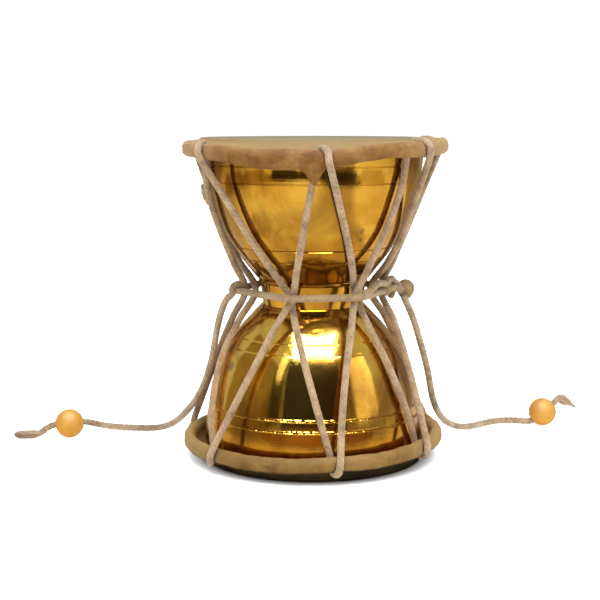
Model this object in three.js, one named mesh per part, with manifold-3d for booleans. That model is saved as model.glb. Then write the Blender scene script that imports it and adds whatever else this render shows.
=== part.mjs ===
/**
 * Damaru: a two-headed hourglass drum. A spun brass shell is closed at both mouths by goat-skin heads, each
 * rolled over a hoop. Cotton lacing pulls the hoops together, a waist cord is tied round the lacing, and
 * the two free ends of that cord carry a wooden bead each, the strikers.
 *
 * Millimetres, +Z up. The origin is the centre of the lower head's outer face, on the surface the drum
 * stands on. Azimuths are in degrees, from the front (-Y) towards the right (+X).
 */
import * as THREE from 'three';
import { mergeVertices } from 'three/addons/utils/BufferGeometryUtils.js';
import Module from 'manifold-3d';

const wasm = await Module();
wasm.setup();

// ----------------------------------------------------------------------------------------------------
// Driving dimensions
// ----------------------------------------------------------------------------------------------------

const HEIGHT = 127.5; // over both heads
const GAP = 0.3; // kept between pieces that touch
const SKIN = 0.6; // thickness of a drumhead
const WALL = 1.5; // thickness of the brass
const MOUTH_R = 43.8; // outside of the shell at each mouth
const MOUTH_SETBACK = SKIN + GAP; // from a head's outer face to the shell's edge

const HOOP_R = 49.8; // centre line of a hoop with its skin
const HOOP_HALF_WIDTH = 2.4;
const HOOP_HALF_HEIGHT = 3;

const CORD_D = 2.7; // all cords are the same cotton cord
const CORD_SIDES = 8;
const UPPER_SUNK = 1; // how far the lacing bites into a rolled hoop
const LOWER_SUNK = 0.65;
const CHANNEL_R = CORD_D / 2 + 0.5; // corner radius of the six-sided channel that it bites
const SHELL_STANDOFF = CORD_D / 2 + 0.8; // lacing centre line from the brass it lies on

const WAIST_Z = 67.2;
const WAIST_R = 30.1; // waist cord centre line where it binds the lacing
const OVER_R = 27.1; // the lacing leg next to it, which crosses on top
const UNDER_R = 23; // the lacing leg that crosses beneath

const BEAD_R = 6;
const BEAD_BORE_R = CORD_D / 2 + GAP;

const SHELL_SIDES = 36;
const HEAD_SIDES = 40;

// Each head has six lacing holes. At each, one leg of the cord rises inside the hoop and through the skin,
// and the other lies over the hoop and runs down outside it. `left` and `right` are the azimuths of the two
// legs, and `leftSlide` and `rightSlide` say how far each leg has slid into its shortest way, where that
// isn't 1.
const UPPER_HOLES = [
  { left: 1, right: 5, inside: 'left' },
  { left: 50, right: 54, inside: 'left' },
  { left: 107, right: 116, inside: 'right' },
  { left: 179, right: 182, inside: 'left' },
  { left: 236, right: 246, inside: 'left' },
  { left: 294, right: 304.5, inside: 'left', rightSlide: 0.5 },
];
const LOWER_HOLES = [
  { left: 7.7, right: 10.5, inside: 'left', rightSlide: 1.5 },
  { left: 60, right: 55.5, inside: 'left', leftSlide: -1 },
  { left: 120, right: 117, inside: 'left' },
  { left: 181, right: 183, inside: 'left' },
  { left: 242, right: 250, inside: 'left' },
  { left: 301, right: 313, inside: 'left', leftSlide: 0 },
];
// Two lacing legs cross near the waist between upper hole i and i + 1: their azimuths under the waist cord.
const CROSSINGS = [
  { over: 36.5, under: 44.5 },
  { over: 92, under: 92 },
  { over: 152, under: 152 },
  { over: 214, under: 214 },
  { over: 276.5, under: 275.5 },
  { over: 342.5, under: 335.5 },
];

// ----------------------------------------------------------------------------------------------------
// Small helpers
// ----------------------------------------------------------------------------------------------------

const radians = THREE.MathUtils.degToRad;

/** The point at a radius, an azimuth in degrees and a height. */
function polar(radius, azimuth, z) {
  return new THREE.Vector3(radius * Math.sin(radians(azimuth)), -radius * Math.cos(radians(azimuth)), z);
}

/** The azimuth of a point, in degrees. */
function azimuthOf(x, y) {
  return THREE.MathUtils.radToDeg(Math.atan2(x, -y));
}

/** The signed angle from one azimuth to another, between -180 and 180 degrees. */
function turn(from, to) {
  return THREE.MathUtils.euclideanModulo(to - from + 180, 360) - 180;
}

/** A bump of height 1 at one azimuth, fading over about `width` degrees on each side. */
function bump(azimuth, centre, width) {
  return Math.exp(-0.5 * (turn(centre, azimuth) / width) ** 2);
}

/** A closed mesh as a solid, so that it can be joined or cut. */
function solidOf(geometry) {
  const bare = geometry.clone();
  bare.deleteAttribute('normal');
  bare.deleteAttribute('uv');
  const merged = mergeVertices(bare, 1e-4);
  const corners = [];
  for (let i = 0; i < merged.index.count; i += 3) {
    const [a, b, c] = [0, 1, 2].map((k) => merged.index.getX(i + k));
    if (a !== b && b !== c && c !== a) corners.push(a, b, c);
  }
  return new wasm.Manifold(new wasm.Mesh({
    numProp: 3,
    vertProperties: new Float32Array(merged.attributes.position.array),
    triVerts: new Uint32Array(corners),
  }));
}

/** A solid as a geometry. */
function geometryOf(solid) {
  const { numProp, vertProperties, triVerts } = solid.getMesh();
  const positions = new Float32Array((vertProperties.length / numProp) * 3);
  for (let i = 0; i < positions.length / 3; i++) {
    for (let k = 0; k < 3; k++) positions[3 * i + k] = vertProperties[numProp * i + k];
  }
  const geometry = new THREE.BufferGeometry();
  geometry.setAttribute('position', new THREE.BufferAttribute(positions, 3));
  geometry.setIndex(new THREE.BufferAttribute(new Uint32Array(triVerts), 1));
  return geometry;
}

/** A closed (radius, height) profile turned about +Z. */
function turned(profile, sides) {
  return new THREE.LatheGeometry(profile, sides).rotateX(Math.PI / 2);
}

function named(name, geometry, material) {
  const mesh = new THREE.Mesh(geometry, material);
  mesh.name = name;
  return mesh;
}

// ----------------------------------------------------------------------------------------------------
// Cords
// ----------------------------------------------------------------------------------------------------

/** A smooth curve that is sampled at its own points, so that a tube along it has one ring at each of them. */
class CordCurve extends THREE.CatmullRomCurve3 {
  getPointAt(u, target) {
    return this.getPoint(u, target);
  }

  getTangentAt(u, target) {
    return this.getTangent(u, target);
  }
}

/** A tube with closed ends along an open run of points. */
function openCord(points, radius = CORD_D / 2, sides = CORD_SIDES) {
  const ring = [];
  for (let i = 0; i < sides; i++) {
    const angle = (2 * Math.PI * i) / sides;
    ring.push(new THREE.Vector2(radius * Math.cos(angle), radius * Math.sin(angle)));
  }
  return new THREE.ExtrudeGeometry(new THREE.Shape(ring), {
    extrudePath: new CordCurve(points),
    steps: points.length - 1,
    bevelEnabled: false,
  });
}

/** A tube round a closed run of points. */
function closedCord(points) {
  return new THREE.TubeGeometry(new CordCurve(points, true), points.length, CORD_D / 2, CORD_SIDES, true);
}

// ----------------------------------------------------------------------------------------------------
// Shell: two bowls that meet at a stepped collar, hollow right through
// ----------------------------------------------------------------------------------------------------

// Outsides of the bowls, from below upwards. Their walls stand nearly upright at the mouths.
const LOWER_BOWL = new THREE.SplineCurve([
  new THREE.Vector2(MOUTH_R, MOUTH_SETBACK),
  new THREE.Vector2(43.3, 13),
  new THREE.Vector2(40.7, 26),
  new THREE.Vector2(36, 40.5),
  new THREE.Vector2(30.4, 50.5),
  new THREE.Vector2(24.2, 57.6),
  new THREE.Vector2(20.9, 61.2),
]);
const UPPER_BOWL = new THREE.SplineCurve([
  new THREE.Vector2(22.5, 72.4),
  new THREE.Vector2(24.7, 75.3),
  new THREE.Vector2(29.9, 82),
  new THREE.Vector2(35.6, 91.5),
  new THREE.Vector2(40, 103),
  new THREE.Vector2(42.7, 114),
  new THREE.Vector2(MOUTH_R, HEIGHT - MOUTH_SETBACK),
]);
// The collar, from below upwards: a groove, a plain band, a groove and a bead.
const COLLAR = [
  [19.4, 61.7],
  [20, 62.3],
  [20, 68.7],
  [19.4, 69.2],
  [19.4, 69.9],
  [21.3, 70.4],
  [21.7, 71.2],
  [21.3, 72.1],
].map(([radius, z]) => new THREE.Vector2(radius, z));

/** The inside of a bowl, one wall thickness in from its outside. */
function bowlInside(bowl, divisions) {
  const points = [];
  for (let i = 0; i <= divisions; i++) {
    const tangent = bowl.getTangent(i / divisions);
    const outward = new THREE.Vector2(tangent.y, -tangent.x);
    points.push(bowl.getPoint(i / divisions).addScaledVector(outward, -WALL));
  }
  return points;
}

function shellGeometry() {
  const outside = [...LOWER_BOWL.getPoints(8), ...COLLAR, ...UPPER_BOWL.getPoints(8)];
  const inside = [...bowlInside(LOWER_BOWL, 4), ...bowlInside(UPPER_BOWL, 4)].reverse();
  return turned([...outside, ...inside, outside[0]], SHELL_SIDES);
}

const SHELL_OUTLINE = [...LOWER_BOWL.getPoints(40), ...UPPER_BOWL.getPoints(40)];

/** The outer radius of the shell at a height, straight across the collar. */
function shellRadius(z) {
  const above = SHELL_OUTLINE.findIndex((point) => point.y >= z);
  if (above < 1) return MOUTH_R;
  const [low, high] = [SHELL_OUTLINE[above - 1], SHELL_OUTLINE[above]];
  return THREE.MathUtils.mapLinear(z, low.y, high.y, low.x, high.x);
}

// ----------------------------------------------------------------------------------------------------
// Heads: a flat skin whose rim slopes away to the rolled hoop
// ----------------------------------------------------------------------------------------------------

const HOOP_DROP = 3.6; // from a head's outer face to its hoop's centre line, before the lacing pulls it
const UPPER_HOOP_SHIFT = 0.7; // the upper hoop sits off centre, to the right

/** The azimuth of the leg that lies over the hoop. */
function outsideOf(hole) {
  return hole.inside === 'left' ? hole.right : hole.left;
}

/** Height of the upper hoop's centre line. The lacing pulls it down at each hole, most at the front. */
function upperHoopZ(azimuth) {
  const lean = 0.5 * Math.sin(radians(azimuth));
  const sag = 2.3 * bump(azimuth, 0, 22) + 1.2 * bump(azimuth, -28, 12) + 1.6 * bump(azimuth, 180, 40);
  const pull = UPPER_HOLES.reduce((sum, hole) => sum + 0.8 * bump(azimuth, outsideOf(hole), 9), 0);
  return HEIGHT - HOOP_DROP + lean - sag - pull;
}

/** Height of the lower hoop's centre line. It clears the ground all round and rides higher at the right. */
function lowerHoopZ(azimuth) {
  const side = Math.sin(radians(azimuth));
  const pull = LOWER_HOLES.reduce((sum, hole) => sum + 0.4 * bump(azimuth, outsideOf(hole), 9), 0);
  return 7.5 + side + 0.5 * side ** 2 + pull;
}

/** Section of a head with its outer face at height 0 and the drum below it. */
function headSection() {
  const hoop = (degrees) => new THREE.Vector2(
    HOOP_R + HOOP_HALF_WIDTH * Math.cos(radians(degrees)),
    -HOOP_DROP + HOOP_HALF_HEIGHT * Math.sin(radians(degrees)),
  );
  const rim = MOUTH_R + GAP;
  return [
    new THREE.Vector2(0, -SKIN),
    new THREE.Vector2(rim + 0.1, -SKIN),
    new THREE.Vector2(rim + 0.8, -SKIN - 0.5),
    ...[150, 190, 230, 270, 310, 350, 390, 430, 465].map(hoop),
    new THREE.Vector2(rim + 0.4, -0.3),
    new THREE.Vector2(rim - 0.3, 0),
    new THREE.Vector2(0, 0),
  ];
}

/** Moves the rolled edge of a head to its real height, and the skin inside it part of the way. */
function warpHead(geometry, plainZ, hoopZ, shift) {
  const positions = geometry.attributes.position;
  for (let i = 0; i < positions.count; i++) {
    const [x, y, z] = [positions.getX(i), positions.getY(i), positions.getZ(i)];
    const share = THREE.MathUtils.smoothstep(Math.hypot(x, y), MOUTH_R + GAP, HOOP_R - HOOP_HALF_WIDTH);
    const azimuth = azimuthOf(x, y);
    positions.setXYZ(i, x + share * shift, y, z + share * (hoopZ(azimuth) - plainZ));
  }
  return geometry;
}

/** The fold of loose skin that hangs below the upper hoop, where the front lacing comes out. */
function hangFold(geometry) {
  const positions = geometry.attributes.position;
  for (let i = 0; i < positions.count; i++) {
    const [x, y, z] = [positions.getX(i), positions.getY(i), positions.getZ(i)];
    const azimuth = azimuthOf(x, y);
    const underside = upperHoopZ(azimuth) - 0.5 * HOOP_HALF_HEIGHT;
    if (Math.hypot(x, y) > HOOP_R - HOOP_HALF_WIDTH && z < underside) {
      positions.setZ(i, z - 4 * bump(azimuth, 0, 3));
    }
  }
  return geometry;
}

/** Cuts the holes and the grooves in which the lacing runs through and over a head. */
function cutForLacing(geometry, channels) {
  const cutters = channels.map((channel) => solidOf(openCord(channel, CHANNEL_R, 6)));
  return geometryOf(cutters.reduce((head, cutter) => head.subtract(cutter), solidOf(geometry)));
}

// ----------------------------------------------------------------------------------------------------
// Lacing: two closed rounds, each through three upper and three lower holes
// ----------------------------------------------------------------------------------------------------

/**
 * The bend of a lacing cord over a hoop, from its right leg to its left one. `up` is 1 for the upper hoop,
 * where the cord passes over, and -1 for the lower hoop, where it passes under.
 */
function hoopLoop(hole, hoopZ, shift, up) {
  const reach = CORD_D / 2 - (up > 0 ? UPPER_SUNK : LOWER_SUNK);
  const outer = HOOP_R + HOOP_HALF_WIDTH + reach;
  const top = HOOP_HALF_HEIGHT + reach;
  const inner = MOUTH_R + CORD_D / 2 + GAP;
  const outside = outsideOf(hole);
  const centre = hoopZ(outside);
  const sweep = turn(outside, hole[hole.inside]);
  const at = (radius, part, rise) => polar(radius, outside + sweep * part, centre + up * rise);
  const points = [
    at(outer, 0, -2),
    at(outer - 0.6, 0.15, 0.6 * top),
    at(HOOP_R - 0.4, 0.5, top),
    at(inner + 1, 0.85, 0.7 * top),
    at(inner, 1, -1.5),
  ];
  points.slice(0, 4).forEach((point) => { point.x += shift; });
  return hole.inside === 'left' ? points : points.reverse();
}

/** The taut way in (z, radius) from one end to the other round the outside of the shell: a convex outline. */
function tautOutline(ends) {
  const [low, high] = ends.toSorted((a, b) => a.z - b.z);
  const steps = 24;
  const outline = [low];
  for (let i = 1; i <= steps; i++) {
    const z = THREE.MathUtils.lerp(low.z, high.z, i / steps);
    const next = i === steps ? high : { z, radius: shellRadius(z) + SHELL_STANDOFF };
    const dips = () => {
      const [a, b] = outline.slice(-2);
      return (b.radius - a.radius) * (next.z - a.z) <= (next.radius - a.radius) * (b.z - a.z);
    };
    while (outline.length > 1 && dips()) outline.pop();
    outline.push(next);
  }
  return outline;
}

/** The radius of a taut outline at a height. */
function outlineRadius(outline, z) {
  const above = Math.max(1, outline.findIndex((point) => point.z >= z));
  const [low, high] = [outline[above - 1], outline[above]];
  return THREE.MathUtils.mapLinear(z, low.z, high.z, low.radius, high.radius);
}

/**
 * Points of a taut leg between its two ends, lying on the brass where the straight way is blocked. With a
 * slide of 1 it turns about the axis faster where its radius is smaller, which is its shortest way. With 0
 * it turns evenly, and with -1 it turns late, near the hoop.
 */
function leg(from, to, slide = 1) {
  const cylindrical = ({ x, y, z }) => ({ z, radius: Math.hypot(x, y), azimuth: azimuthOf(x, y) });
  const [start, end] = [cylindrical(from), cylindrical(to)];
  const outline = tautOutline([start, end]);
  const steps = 60;
  const turned = [0];
  for (let i = 0; i < steps; i++) {
    const z = THREE.MathUtils.lerp(start.z, end.z, (i + 0.5) / steps);
    turned.push(turned[i] + outlineRadius(outline, z) ** -2);
  }
  return [0.2, 0.4, 0.6, 0.8].map((part) => {
    const z = THREE.MathUtils.lerp(start.z, end.z, part);
    const share = THREE.MathUtils.lerp(part, turned[Math.round(part * steps)] / turned[steps], slide);
    return polar(outlineRadius(outline, z), start.azimuth + turn(start.azimuth, end.azimuth) * share, z);
  });
}

const index = (i) => THREE.MathUtils.euclideanModulo(i, 6);
const over = (i) => polar(OVER_R, CROSSINGS[index(i)].over, WAIST_Z);
const under = (i) => polar(UNDER_R, CROSSINGS[index(i)].under, WAIST_Z);

const UPPER_LOOPS = UPPER_HOLES.map((hole) => hoopLoop(hole, upperHoopZ, UPPER_HOOP_SHIFT, 1));
const LOWER_LOOPS = LOWER_HOLES.map((hole) => hoopLoop(hole, lowerHoopZ, 0, -1));

const upperLeftLeg = (i) => leg(UPPER_LOOPS[index(i)].at(-1), over(i - 1), UPPER_HOLES[index(i)].leftSlide);
const lowerRightLeg = (i) => leg(over(i), LOWER_LOOPS[index(i)][0], LOWER_HOLES[index(i)].rightSlide);
const lowerLeftLeg = (i) => leg(LOWER_LOOPS[index(i)].at(-1), under(i - 1), LOWER_HOLES[index(i)].leftSlide);
const upperRightLeg = (i) => leg(under(i), UPPER_LOOPS[index(i)][0], UPPER_HOLES[index(i)].rightSlide);

/** One round of the lacing, from upper hole `first` and back to it, through every second hole. */
function lacingRound(first) {
  const points = [];
  for (let i = first; i > first - 6; i -= 2) {
    points.push(...UPPER_LOOPS[index(i)], ...upperLeftLeg(i), over(i - 1), ...lowerRightLeg(i - 1));
    points.push(...LOWER_LOOPS[index(i - 1)], ...lowerLeftLeg(i - 1), under(i - 2), ...upperRightLeg(i - 2));
  }
  return points;
}

// Each loop with the next point of the cord on either side of it.
const UPPER_CHANNELS = UPPER_LOOPS.map((loop, i) => [upperRightLeg(i).at(-1), ...loop, upperLeftLeg(i)[0]]);
const LOWER_CHANNELS = LOWER_LOOPS.map((loop, i) => [lowerRightLeg(i).at(-1), ...loop, lowerLeftLeg(i)[0]]);

// ----------------------------------------------------------------------------------------------------
// Waist cord: straight from crossing to crossing, doubled and knotted at the right
// ----------------------------------------------------------------------------------------------------

function waistGeometry() {
  const corners = CROSSINGS.flatMap((crossing) => [-5, 0, 5].map((step) => (
    polar(WAIST_R + (step === 0 ? 0.15 : 0), crossing.over + step, WAIST_Z))));
  const ring = solidOf(closedCord(corners));
  const second = openCord([
    polar(29.6, 45, WAIST_Z + 0.3),
    polar(30, 49, WAIST_Z + 2.4),
    polar(29.2, 57, WAIST_Z + 3.9),
    polar(28.9, 70, WAIST_Z + 3.4),
    polar(30.6, 82, WAIST_Z + 1.9),
  ]);
  const lumps = [
    { at: [30.3, -3.6, 68.7], size: [2.8, 2.8, 3] },
    { at: [31.2, -3.6, 65.2], size: [2.3, 2.3, 2.4] },
    { at: [33.4, 0.4, 67.5], size: [2.5, 2.6, 2.4] },
    { at: [36, 3.9, 66.8], size: [2.5, 2.4, 2.2] },
    { at: [37.9, 6, 66.5], size: [3.5, 3, 4] }, // the knotted cord end beside the main knot
  ].map(({ at, size }) => new THREE.SphereGeometry(1, 8, 6).scale(...size).translate(...at));
  return geometryOf([second, ...lumps].reduce((solid, piece) => solid.add(solidOf(piece)), ring));
}

// ----------------------------------------------------------------------------------------------------
// Strikers: the free cord ends and their beads
// ----------------------------------------------------------------------------------------------------

const vectors = (list) => list.map((point) => new THREE.Vector3(...point));

// Each bead rests on the ground. `axis` points along its bore towards the drum.
const LEFT_BEAD = {
  centre: new THREE.Vector3(-103.6, 25.4, BEAD_R),
  axis: new THREE.Vector3(0.97, 0.24, 0.05),
};
const RIGHT_BEAD = {
  centre: new THREE.Vector3(102.4, 47.4, BEAD_R),
  axis: new THREE.Vector3(-0.77, 0, -0.63),
};

/** Points of a cord inside a bead's bore, coming from the drum. */
function throughBead({ centre, axis }) {
  const along = axis.clone().normalize();
  return [1, 0, -1].map((side) => centre.clone().addScaledVector(along, side * (BEAD_R + 0.4)));
}

// From the waist, down past the lower hoop, out over the ground, through the bead and to the frayed tail.
const LEFT_STRIKER = [
  ...vectors([
    [-33.2, -3.4, 65], [-35.3, -1.6, 61.8], [-37.4, 0.4, 56], [-38.9, 1, 49.5], [-40, 1.4, 43],
    [-41.3, 2.2, 37], [-43.1, 4, 31], [-45.3, 6.6, 25.3], [-48.1, 10, 20], [-51.3, 14.2, 15.3],
    [-55, 19.2, 10.6], [-59.2, 24.8, 6.4], [-64.5, 30, 3.3], [-71, 34.4, 1.7], [-78, 36, 1.5],
    [-85, 34.2, 2.3], [-91.5, 30.4, 4.2],
  ]),
  ...throughBead(LEFT_BEAD),
  ...vectors([[-113.6, 23, 4.4], [-117, 22.5, 2.8], [-121.5, 22.1, 1.8], [-126.8, 22, 1.5]]),
];
const RIGHT_STRIKER = [
  ...vectors([
    [36.2, -0.2, 64.6], [38.2, 0.6, 60.2], [40.2, 1.4, 55.6], [41.8, 2.2, 51], [43.3, 3, 46],
    [44.8, 3.9, 41], [46.2, 4.9, 36], [47.4, 6.1, 31], [48.4, 7.6, 26], [49.5, 9.6, 21],
    [51.2, 12.4, 16.2], [53.6, 16.6, 11.6], [57.2, 22.6, 7.2], [62.6, 30, 3.6], [69, 37.4, 1.8],
    [75.6, 44, 1.5], [82.6, 49, 1.5], [90, 50, 1.5],
  ]),
  ...throughBead(RIGHT_BEAD),
  ...vectors([[109.6, 47, 12.4], [112.6, 46.7, 12], [115.3, 46.4, 10.2], [117.2, 46.2, 8]]),
];

function beadGeometry({ centre, axis }) {
  const profile = [];
  const start = Math.asin(BEAD_BORE_R / BEAD_R);
  for (let i = 0; i <= 8; i++) {
    const angle = Math.PI - start - ((Math.PI - 2 * start) * i) / 8;
    profile.push(new THREE.Vector2(BEAD_R * Math.sin(angle), BEAD_R * Math.cos(angle)));
  }
  const bead = new THREE.LatheGeometry([...profile, profile[0]], 12);
  const turnTo = new THREE.Quaternion();
  turnTo.setFromUnitVectors(new THREE.Vector3(0, 1, 0), axis.clone().normalize());
  return bead.applyQuaternion(turnTo).translate(...centre);
}

// ----------------------------------------------------------------------------------------------------
// Assembly
// ----------------------------------------------------------------------------------------------------

const brass = new THREE.MeshStandardMaterial({ color: 0xc79a3a, roughness: 0.18, metalness: 1 });
const upperSkin = new THREE.MeshStandardMaterial({ color: 0xb9946a, roughness: 0.75, metalness: 0 });
const lowerSkin = new THREE.MeshStandardMaterial({ color: 0xbfa36f, roughness: 0.75, metalness: 0 });
const lacingCotton = new THREE.MeshStandardMaterial({ color: 0xaf9678, roughness: 0.95, metalness: 0 });
const waistCotton = new THREE.MeshStandardMaterial({ color: 0xb89c7c, roughness: 0.95, metalness: 0 });
const strikerCotton = new THREE.MeshStandardMaterial({ color: 0xa98f70, roughness: 0.95, metalness: 0 });
const paintedWood = new THREE.MeshStandardMaterial({ color: 0xf0b450, roughness: 0.45, metalness: 0 });

const plainHead = turned(headSection(), HEAD_SIDES);
const upperPlain = plainHead.clone().translate(0, 0, HEIGHT);
const upperBlank = warpHead(upperPlain, HEIGHT - HOOP_DROP, upperHoopZ, UPPER_HOOP_SHIFT);
const lowerBlank = warpHead(plainHead.clone().rotateX(Math.PI), HOOP_DROP, lowerHoopZ, 0);

const damaru = new THREE.Group();
damaru.add(
  named('shell', shellGeometry(), brass),
  named('upper_head', cutForLacing(hangFold(upperBlank), UPPER_CHANNELS), upperSkin),
  named('lower_head', cutForLacing(lowerBlank, LOWER_CHANNELS), lowerSkin),
  named('lacing_round_a', closedCord(lacingRound(0)), lacingCotton),
  named('lacing_round_b', closedCord(lacingRound(5)), lacingCotton),
  named('waist_cord', waistGeometry(), waistCotton),
  named('striker_cord_left', openCord(LEFT_STRIKER), strikerCotton),
  named('striker_cord_right', openCord(RIGHT_STRIKER), strikerCotton),
  named('striker_bead_left', beadGeometry(LEFT_BEAD), paintedWood),
  named('striker_bead_right', beadGeometry(RIGHT_BEAD), paintedWood),
);

export default damaru;
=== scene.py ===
"""Damaru, a two-headed hourglass drum.

A spun brass shell, two rolled skin heads, cotton lacing and two bead strikers. Sizes are in millimetres, in
the drum's own frame: +Z up, the origin at the centre of the lower head's outer face, and azimuths in degrees
from the front (-Y) towards the right (+X). Meshes are in metres.
"""

import logging
import math
import random
from dataclasses import dataclass
from enum import Enum
from typing import Callable, Sequence

import bmesh
import bpy
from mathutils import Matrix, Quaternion, Vector, noise

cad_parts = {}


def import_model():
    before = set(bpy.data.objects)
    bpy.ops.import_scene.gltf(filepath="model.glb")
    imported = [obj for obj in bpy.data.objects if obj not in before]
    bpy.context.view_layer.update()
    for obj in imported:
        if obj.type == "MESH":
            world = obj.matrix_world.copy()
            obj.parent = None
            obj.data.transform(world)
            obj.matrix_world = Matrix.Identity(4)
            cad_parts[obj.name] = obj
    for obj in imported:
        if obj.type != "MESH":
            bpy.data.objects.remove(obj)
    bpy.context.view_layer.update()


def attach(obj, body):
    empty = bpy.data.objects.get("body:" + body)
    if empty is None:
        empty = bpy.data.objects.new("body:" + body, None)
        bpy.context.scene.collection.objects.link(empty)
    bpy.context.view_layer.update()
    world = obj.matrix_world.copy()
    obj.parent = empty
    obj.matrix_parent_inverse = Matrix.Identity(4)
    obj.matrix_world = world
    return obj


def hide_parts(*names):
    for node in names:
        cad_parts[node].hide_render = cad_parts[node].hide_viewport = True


Colour = tuple[float, float, float]
Line = Sequence[Vector]
Material = bpy.types.Material
Piece = bpy.types.Object
Profile = Sequence[tuple[float, float]]
Socket = bpy.types.NodeSocket

LOG = logging.getLogger("damaru")
ROOT = "root"
MM = 0.001
TINY = 1e-6
UP = Vector((0, 0, 1))
BLACK = (0.0, 0.0, 0.0)
WHITE = (1.0, 1.0, 1.0, 1.0)

# ---------- Small geometry helpers, in millimetres ----------


def polar(radius: float, azimuth: float, z: float) -> Vector:
    """Return the point at a radius, an azimuth in degrees and a height."""
    angle = math.radians(azimuth)
    return Vector((radius * math.sin(angle), -radius * math.cos(angle), z))


def azimuth_of(point: Vector) -> float:
    """Return the azimuth of a point, in degrees."""
    return math.degrees(math.atan2(point.x, -point.y))


def turn(start: float, end: float) -> float:
    """Return the signed angle from one azimuth to another, between -180 and 180 degrees."""
    return (end - start + 180) % 360 - 180


def bump(azimuth: float, centre: float, width: float) -> float:
    """Return a bump of height 1 at one azimuth, fading over about `width` degrees on each side."""
    return math.exp(-0.5 * (turn(centre, azimuth) / width) ** 2)


def smoothstep(value: float, low: float, high: float) -> float:
    """Return 0 below `low`, 1 above `high`, and a smooth step between them."""
    part = min(1.0, max(0.0, (value - low) / (high - low)))
    return part * part * (3 - 2 * part)


def lerp(low: float, high: float, part: float) -> float:
    """Return the value at a part of the way between two others."""
    return low + (high - low) * part


def catmull(points: Line, divisions: int, closed: bool = False) -> list[Vector]:
    """Return a smooth line through points.

    Args:
        points: The points that the line passes through.
        divisions: The number of steps between two points.
        closed: Whether the line returns to its first point.

    Returns:
        The points of the line, with the last one left out where it is closed.
    """
    count = len(points)
    at = (lambda i: points[i % count]) if closed else (lambda i: points[min(max(i, 0), count - 1)])
    line = []
    for i in range(count if closed else count - 1):
        a, b, c, d = (at(i + k) for k in (-1, 0, 1, 2))
        for step in range(divisions):
            t = step / divisions
            square, cube = 2 * a - 5 * b + 4 * c - d, 3 * b - a - 3 * c + d
            line.append(0.5 * (2 * b + (c - a) * t + square * t**2 + cube * t**3))
    if not closed:
        line.append(points[-1].copy())
    return line


def evenly(points: Line, spacing: float, closed: bool = False) -> list[Vector]:
    """Return points a fixed distance apart along a line.

    Args:
        points: The line.
        spacing: The wanted distance between points.
        closed: Whether the line returns to its first point.

    Returns:
        The new points, with the last one left out where the line is closed.
    """
    line = list(points) + ([points[0]] if closed else [])
    reach = [0.0]
    for a, b in zip(line, line[1:]):
        reach.append(reach[-1] + (b - a).length)
    count = max(2, round(reach[-1] / spacing))
    result, k = [], 0
    for i in range(count if closed else count + 1):
        wanted = reach[-1] * i / count
        while k < len(line) - 2 and reach[k + 1] < wanted:
            k += 1
        part = (wanted - reach[k]) / max(reach[k + 1] - reach[k], TINY)
        result.append(line[k].lerp(line[k + 1], part))
    return result


# ---------- Mesh helpers ----------


def deselect() -> None:
    """Deselect every object, so that an operator acts on new work alone."""
    if bpy.context.mode != "OBJECT":
        bpy.ops.object.mode_set(mode="OBJECT")
    bpy.ops.object.select_all(action="DESELECT")


def spin_profile(name: str, profile: Profile, steps: int) -> Piece:
    """Turn a closed (radius, height) profile about +Z.

    Args:
        name: The piece's name.
        profile: The corners of the section, in millimetres, which closes on itself or ends on the axis.
        steps: The number of faces round the axis.

    Returns:
        The closed solid of revolution.
    """
    deselect()
    radius, z = profile[0]
    bpy.ops.mesh.primitive_plane_add(size=MM, location=(radius * MM, 0, z * MM))
    piece = bpy.context.object
    piece.name = piece.data.name = name
    bpy.ops.object.transform_apply(location=True, rotation=False, scale=False)
    bpy.ops.object.mode_set(mode="EDIT")
    bpy.ops.mesh.select_all(action="SELECT")
    bpy.ops.mesh.merge(type="CENTER")
    for start, end in zip(profile, profile[1:]):
        step = Vector(((end[0] - start[0]) * MM, 0, (end[1] - start[1]) * MM))
        bpy.ops.mesh.extrude_region_move(TRANSFORM_OT_translate={"value": step})
    if min(r for r, _ in profile) > TINY:
        bpy.ops.mesh.select_all(action="DESELECT")
        bpy.ops.object.mode_set(mode="OBJECT")
        for index in (0, len(piece.data.vertices) - 1):
            piece.data.vertices[index].select = True
        bpy.ops.object.mode_set(mode="EDIT")
        bpy.ops.mesh.edge_face_add()
    bpy.ops.mesh.select_all(action="SELECT")
    bpy.ops.mesh.spin(steps=steps, angle=2 * math.pi, center=(0, 0, 0), axis=UP)
    bpy.ops.mesh.select_all(action="SELECT")
    bpy.ops.mesh.remove_doubles(threshold=TINY)
    bpy.ops.mesh.normals_make_consistent(inside=False)
    bpy.ops.object.mode_set(mode="OBJECT")
    return piece


def shade_smooth(piece: Piece, crease: float | None = None) -> None:
    """Shade a piece smoothly.

    Args:
        piece: The piece.
        crease: The angle in degrees from which an edge between two faces stays sharp, if any does.
    """
    deselect()
    piece.select_set(True)
    bpy.context.view_layer.objects.active = piece
    if crease is None:
        bpy.ops.object.shade_smooth()
    else:
        bpy.ops.object.shade_smooth_by_angle(angle=math.radians(crease))


def sculpt(piece: Piece, move: Callable[[Vector], Vector]) -> None:
    """Move every vertex of a piece.

    Args:
        piece: The piece.
        move: Where a vertex goes, given and returned in millimetres.
    """
    for vertex in piece.data.vertices:
        vertex.co = move(vertex.co / MM) * MM
    piece.data.update()


def join(name: str, parts: Sequence[Piece]) -> Piece:
    """Join several meshes into one.

    Args:
        name: The joined piece's name.
        parts: The meshes, of which the first takes in the others.

    Returns:
        The joined piece.
    """
    deselect()
    for part in parts:
        part.select_set(True)
    bpy.context.view_layer.objects.active = parts[0]
    bpy.ops.object.join()
    parts[0].name = parts[0].data.name = name
    return parts[0]


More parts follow.
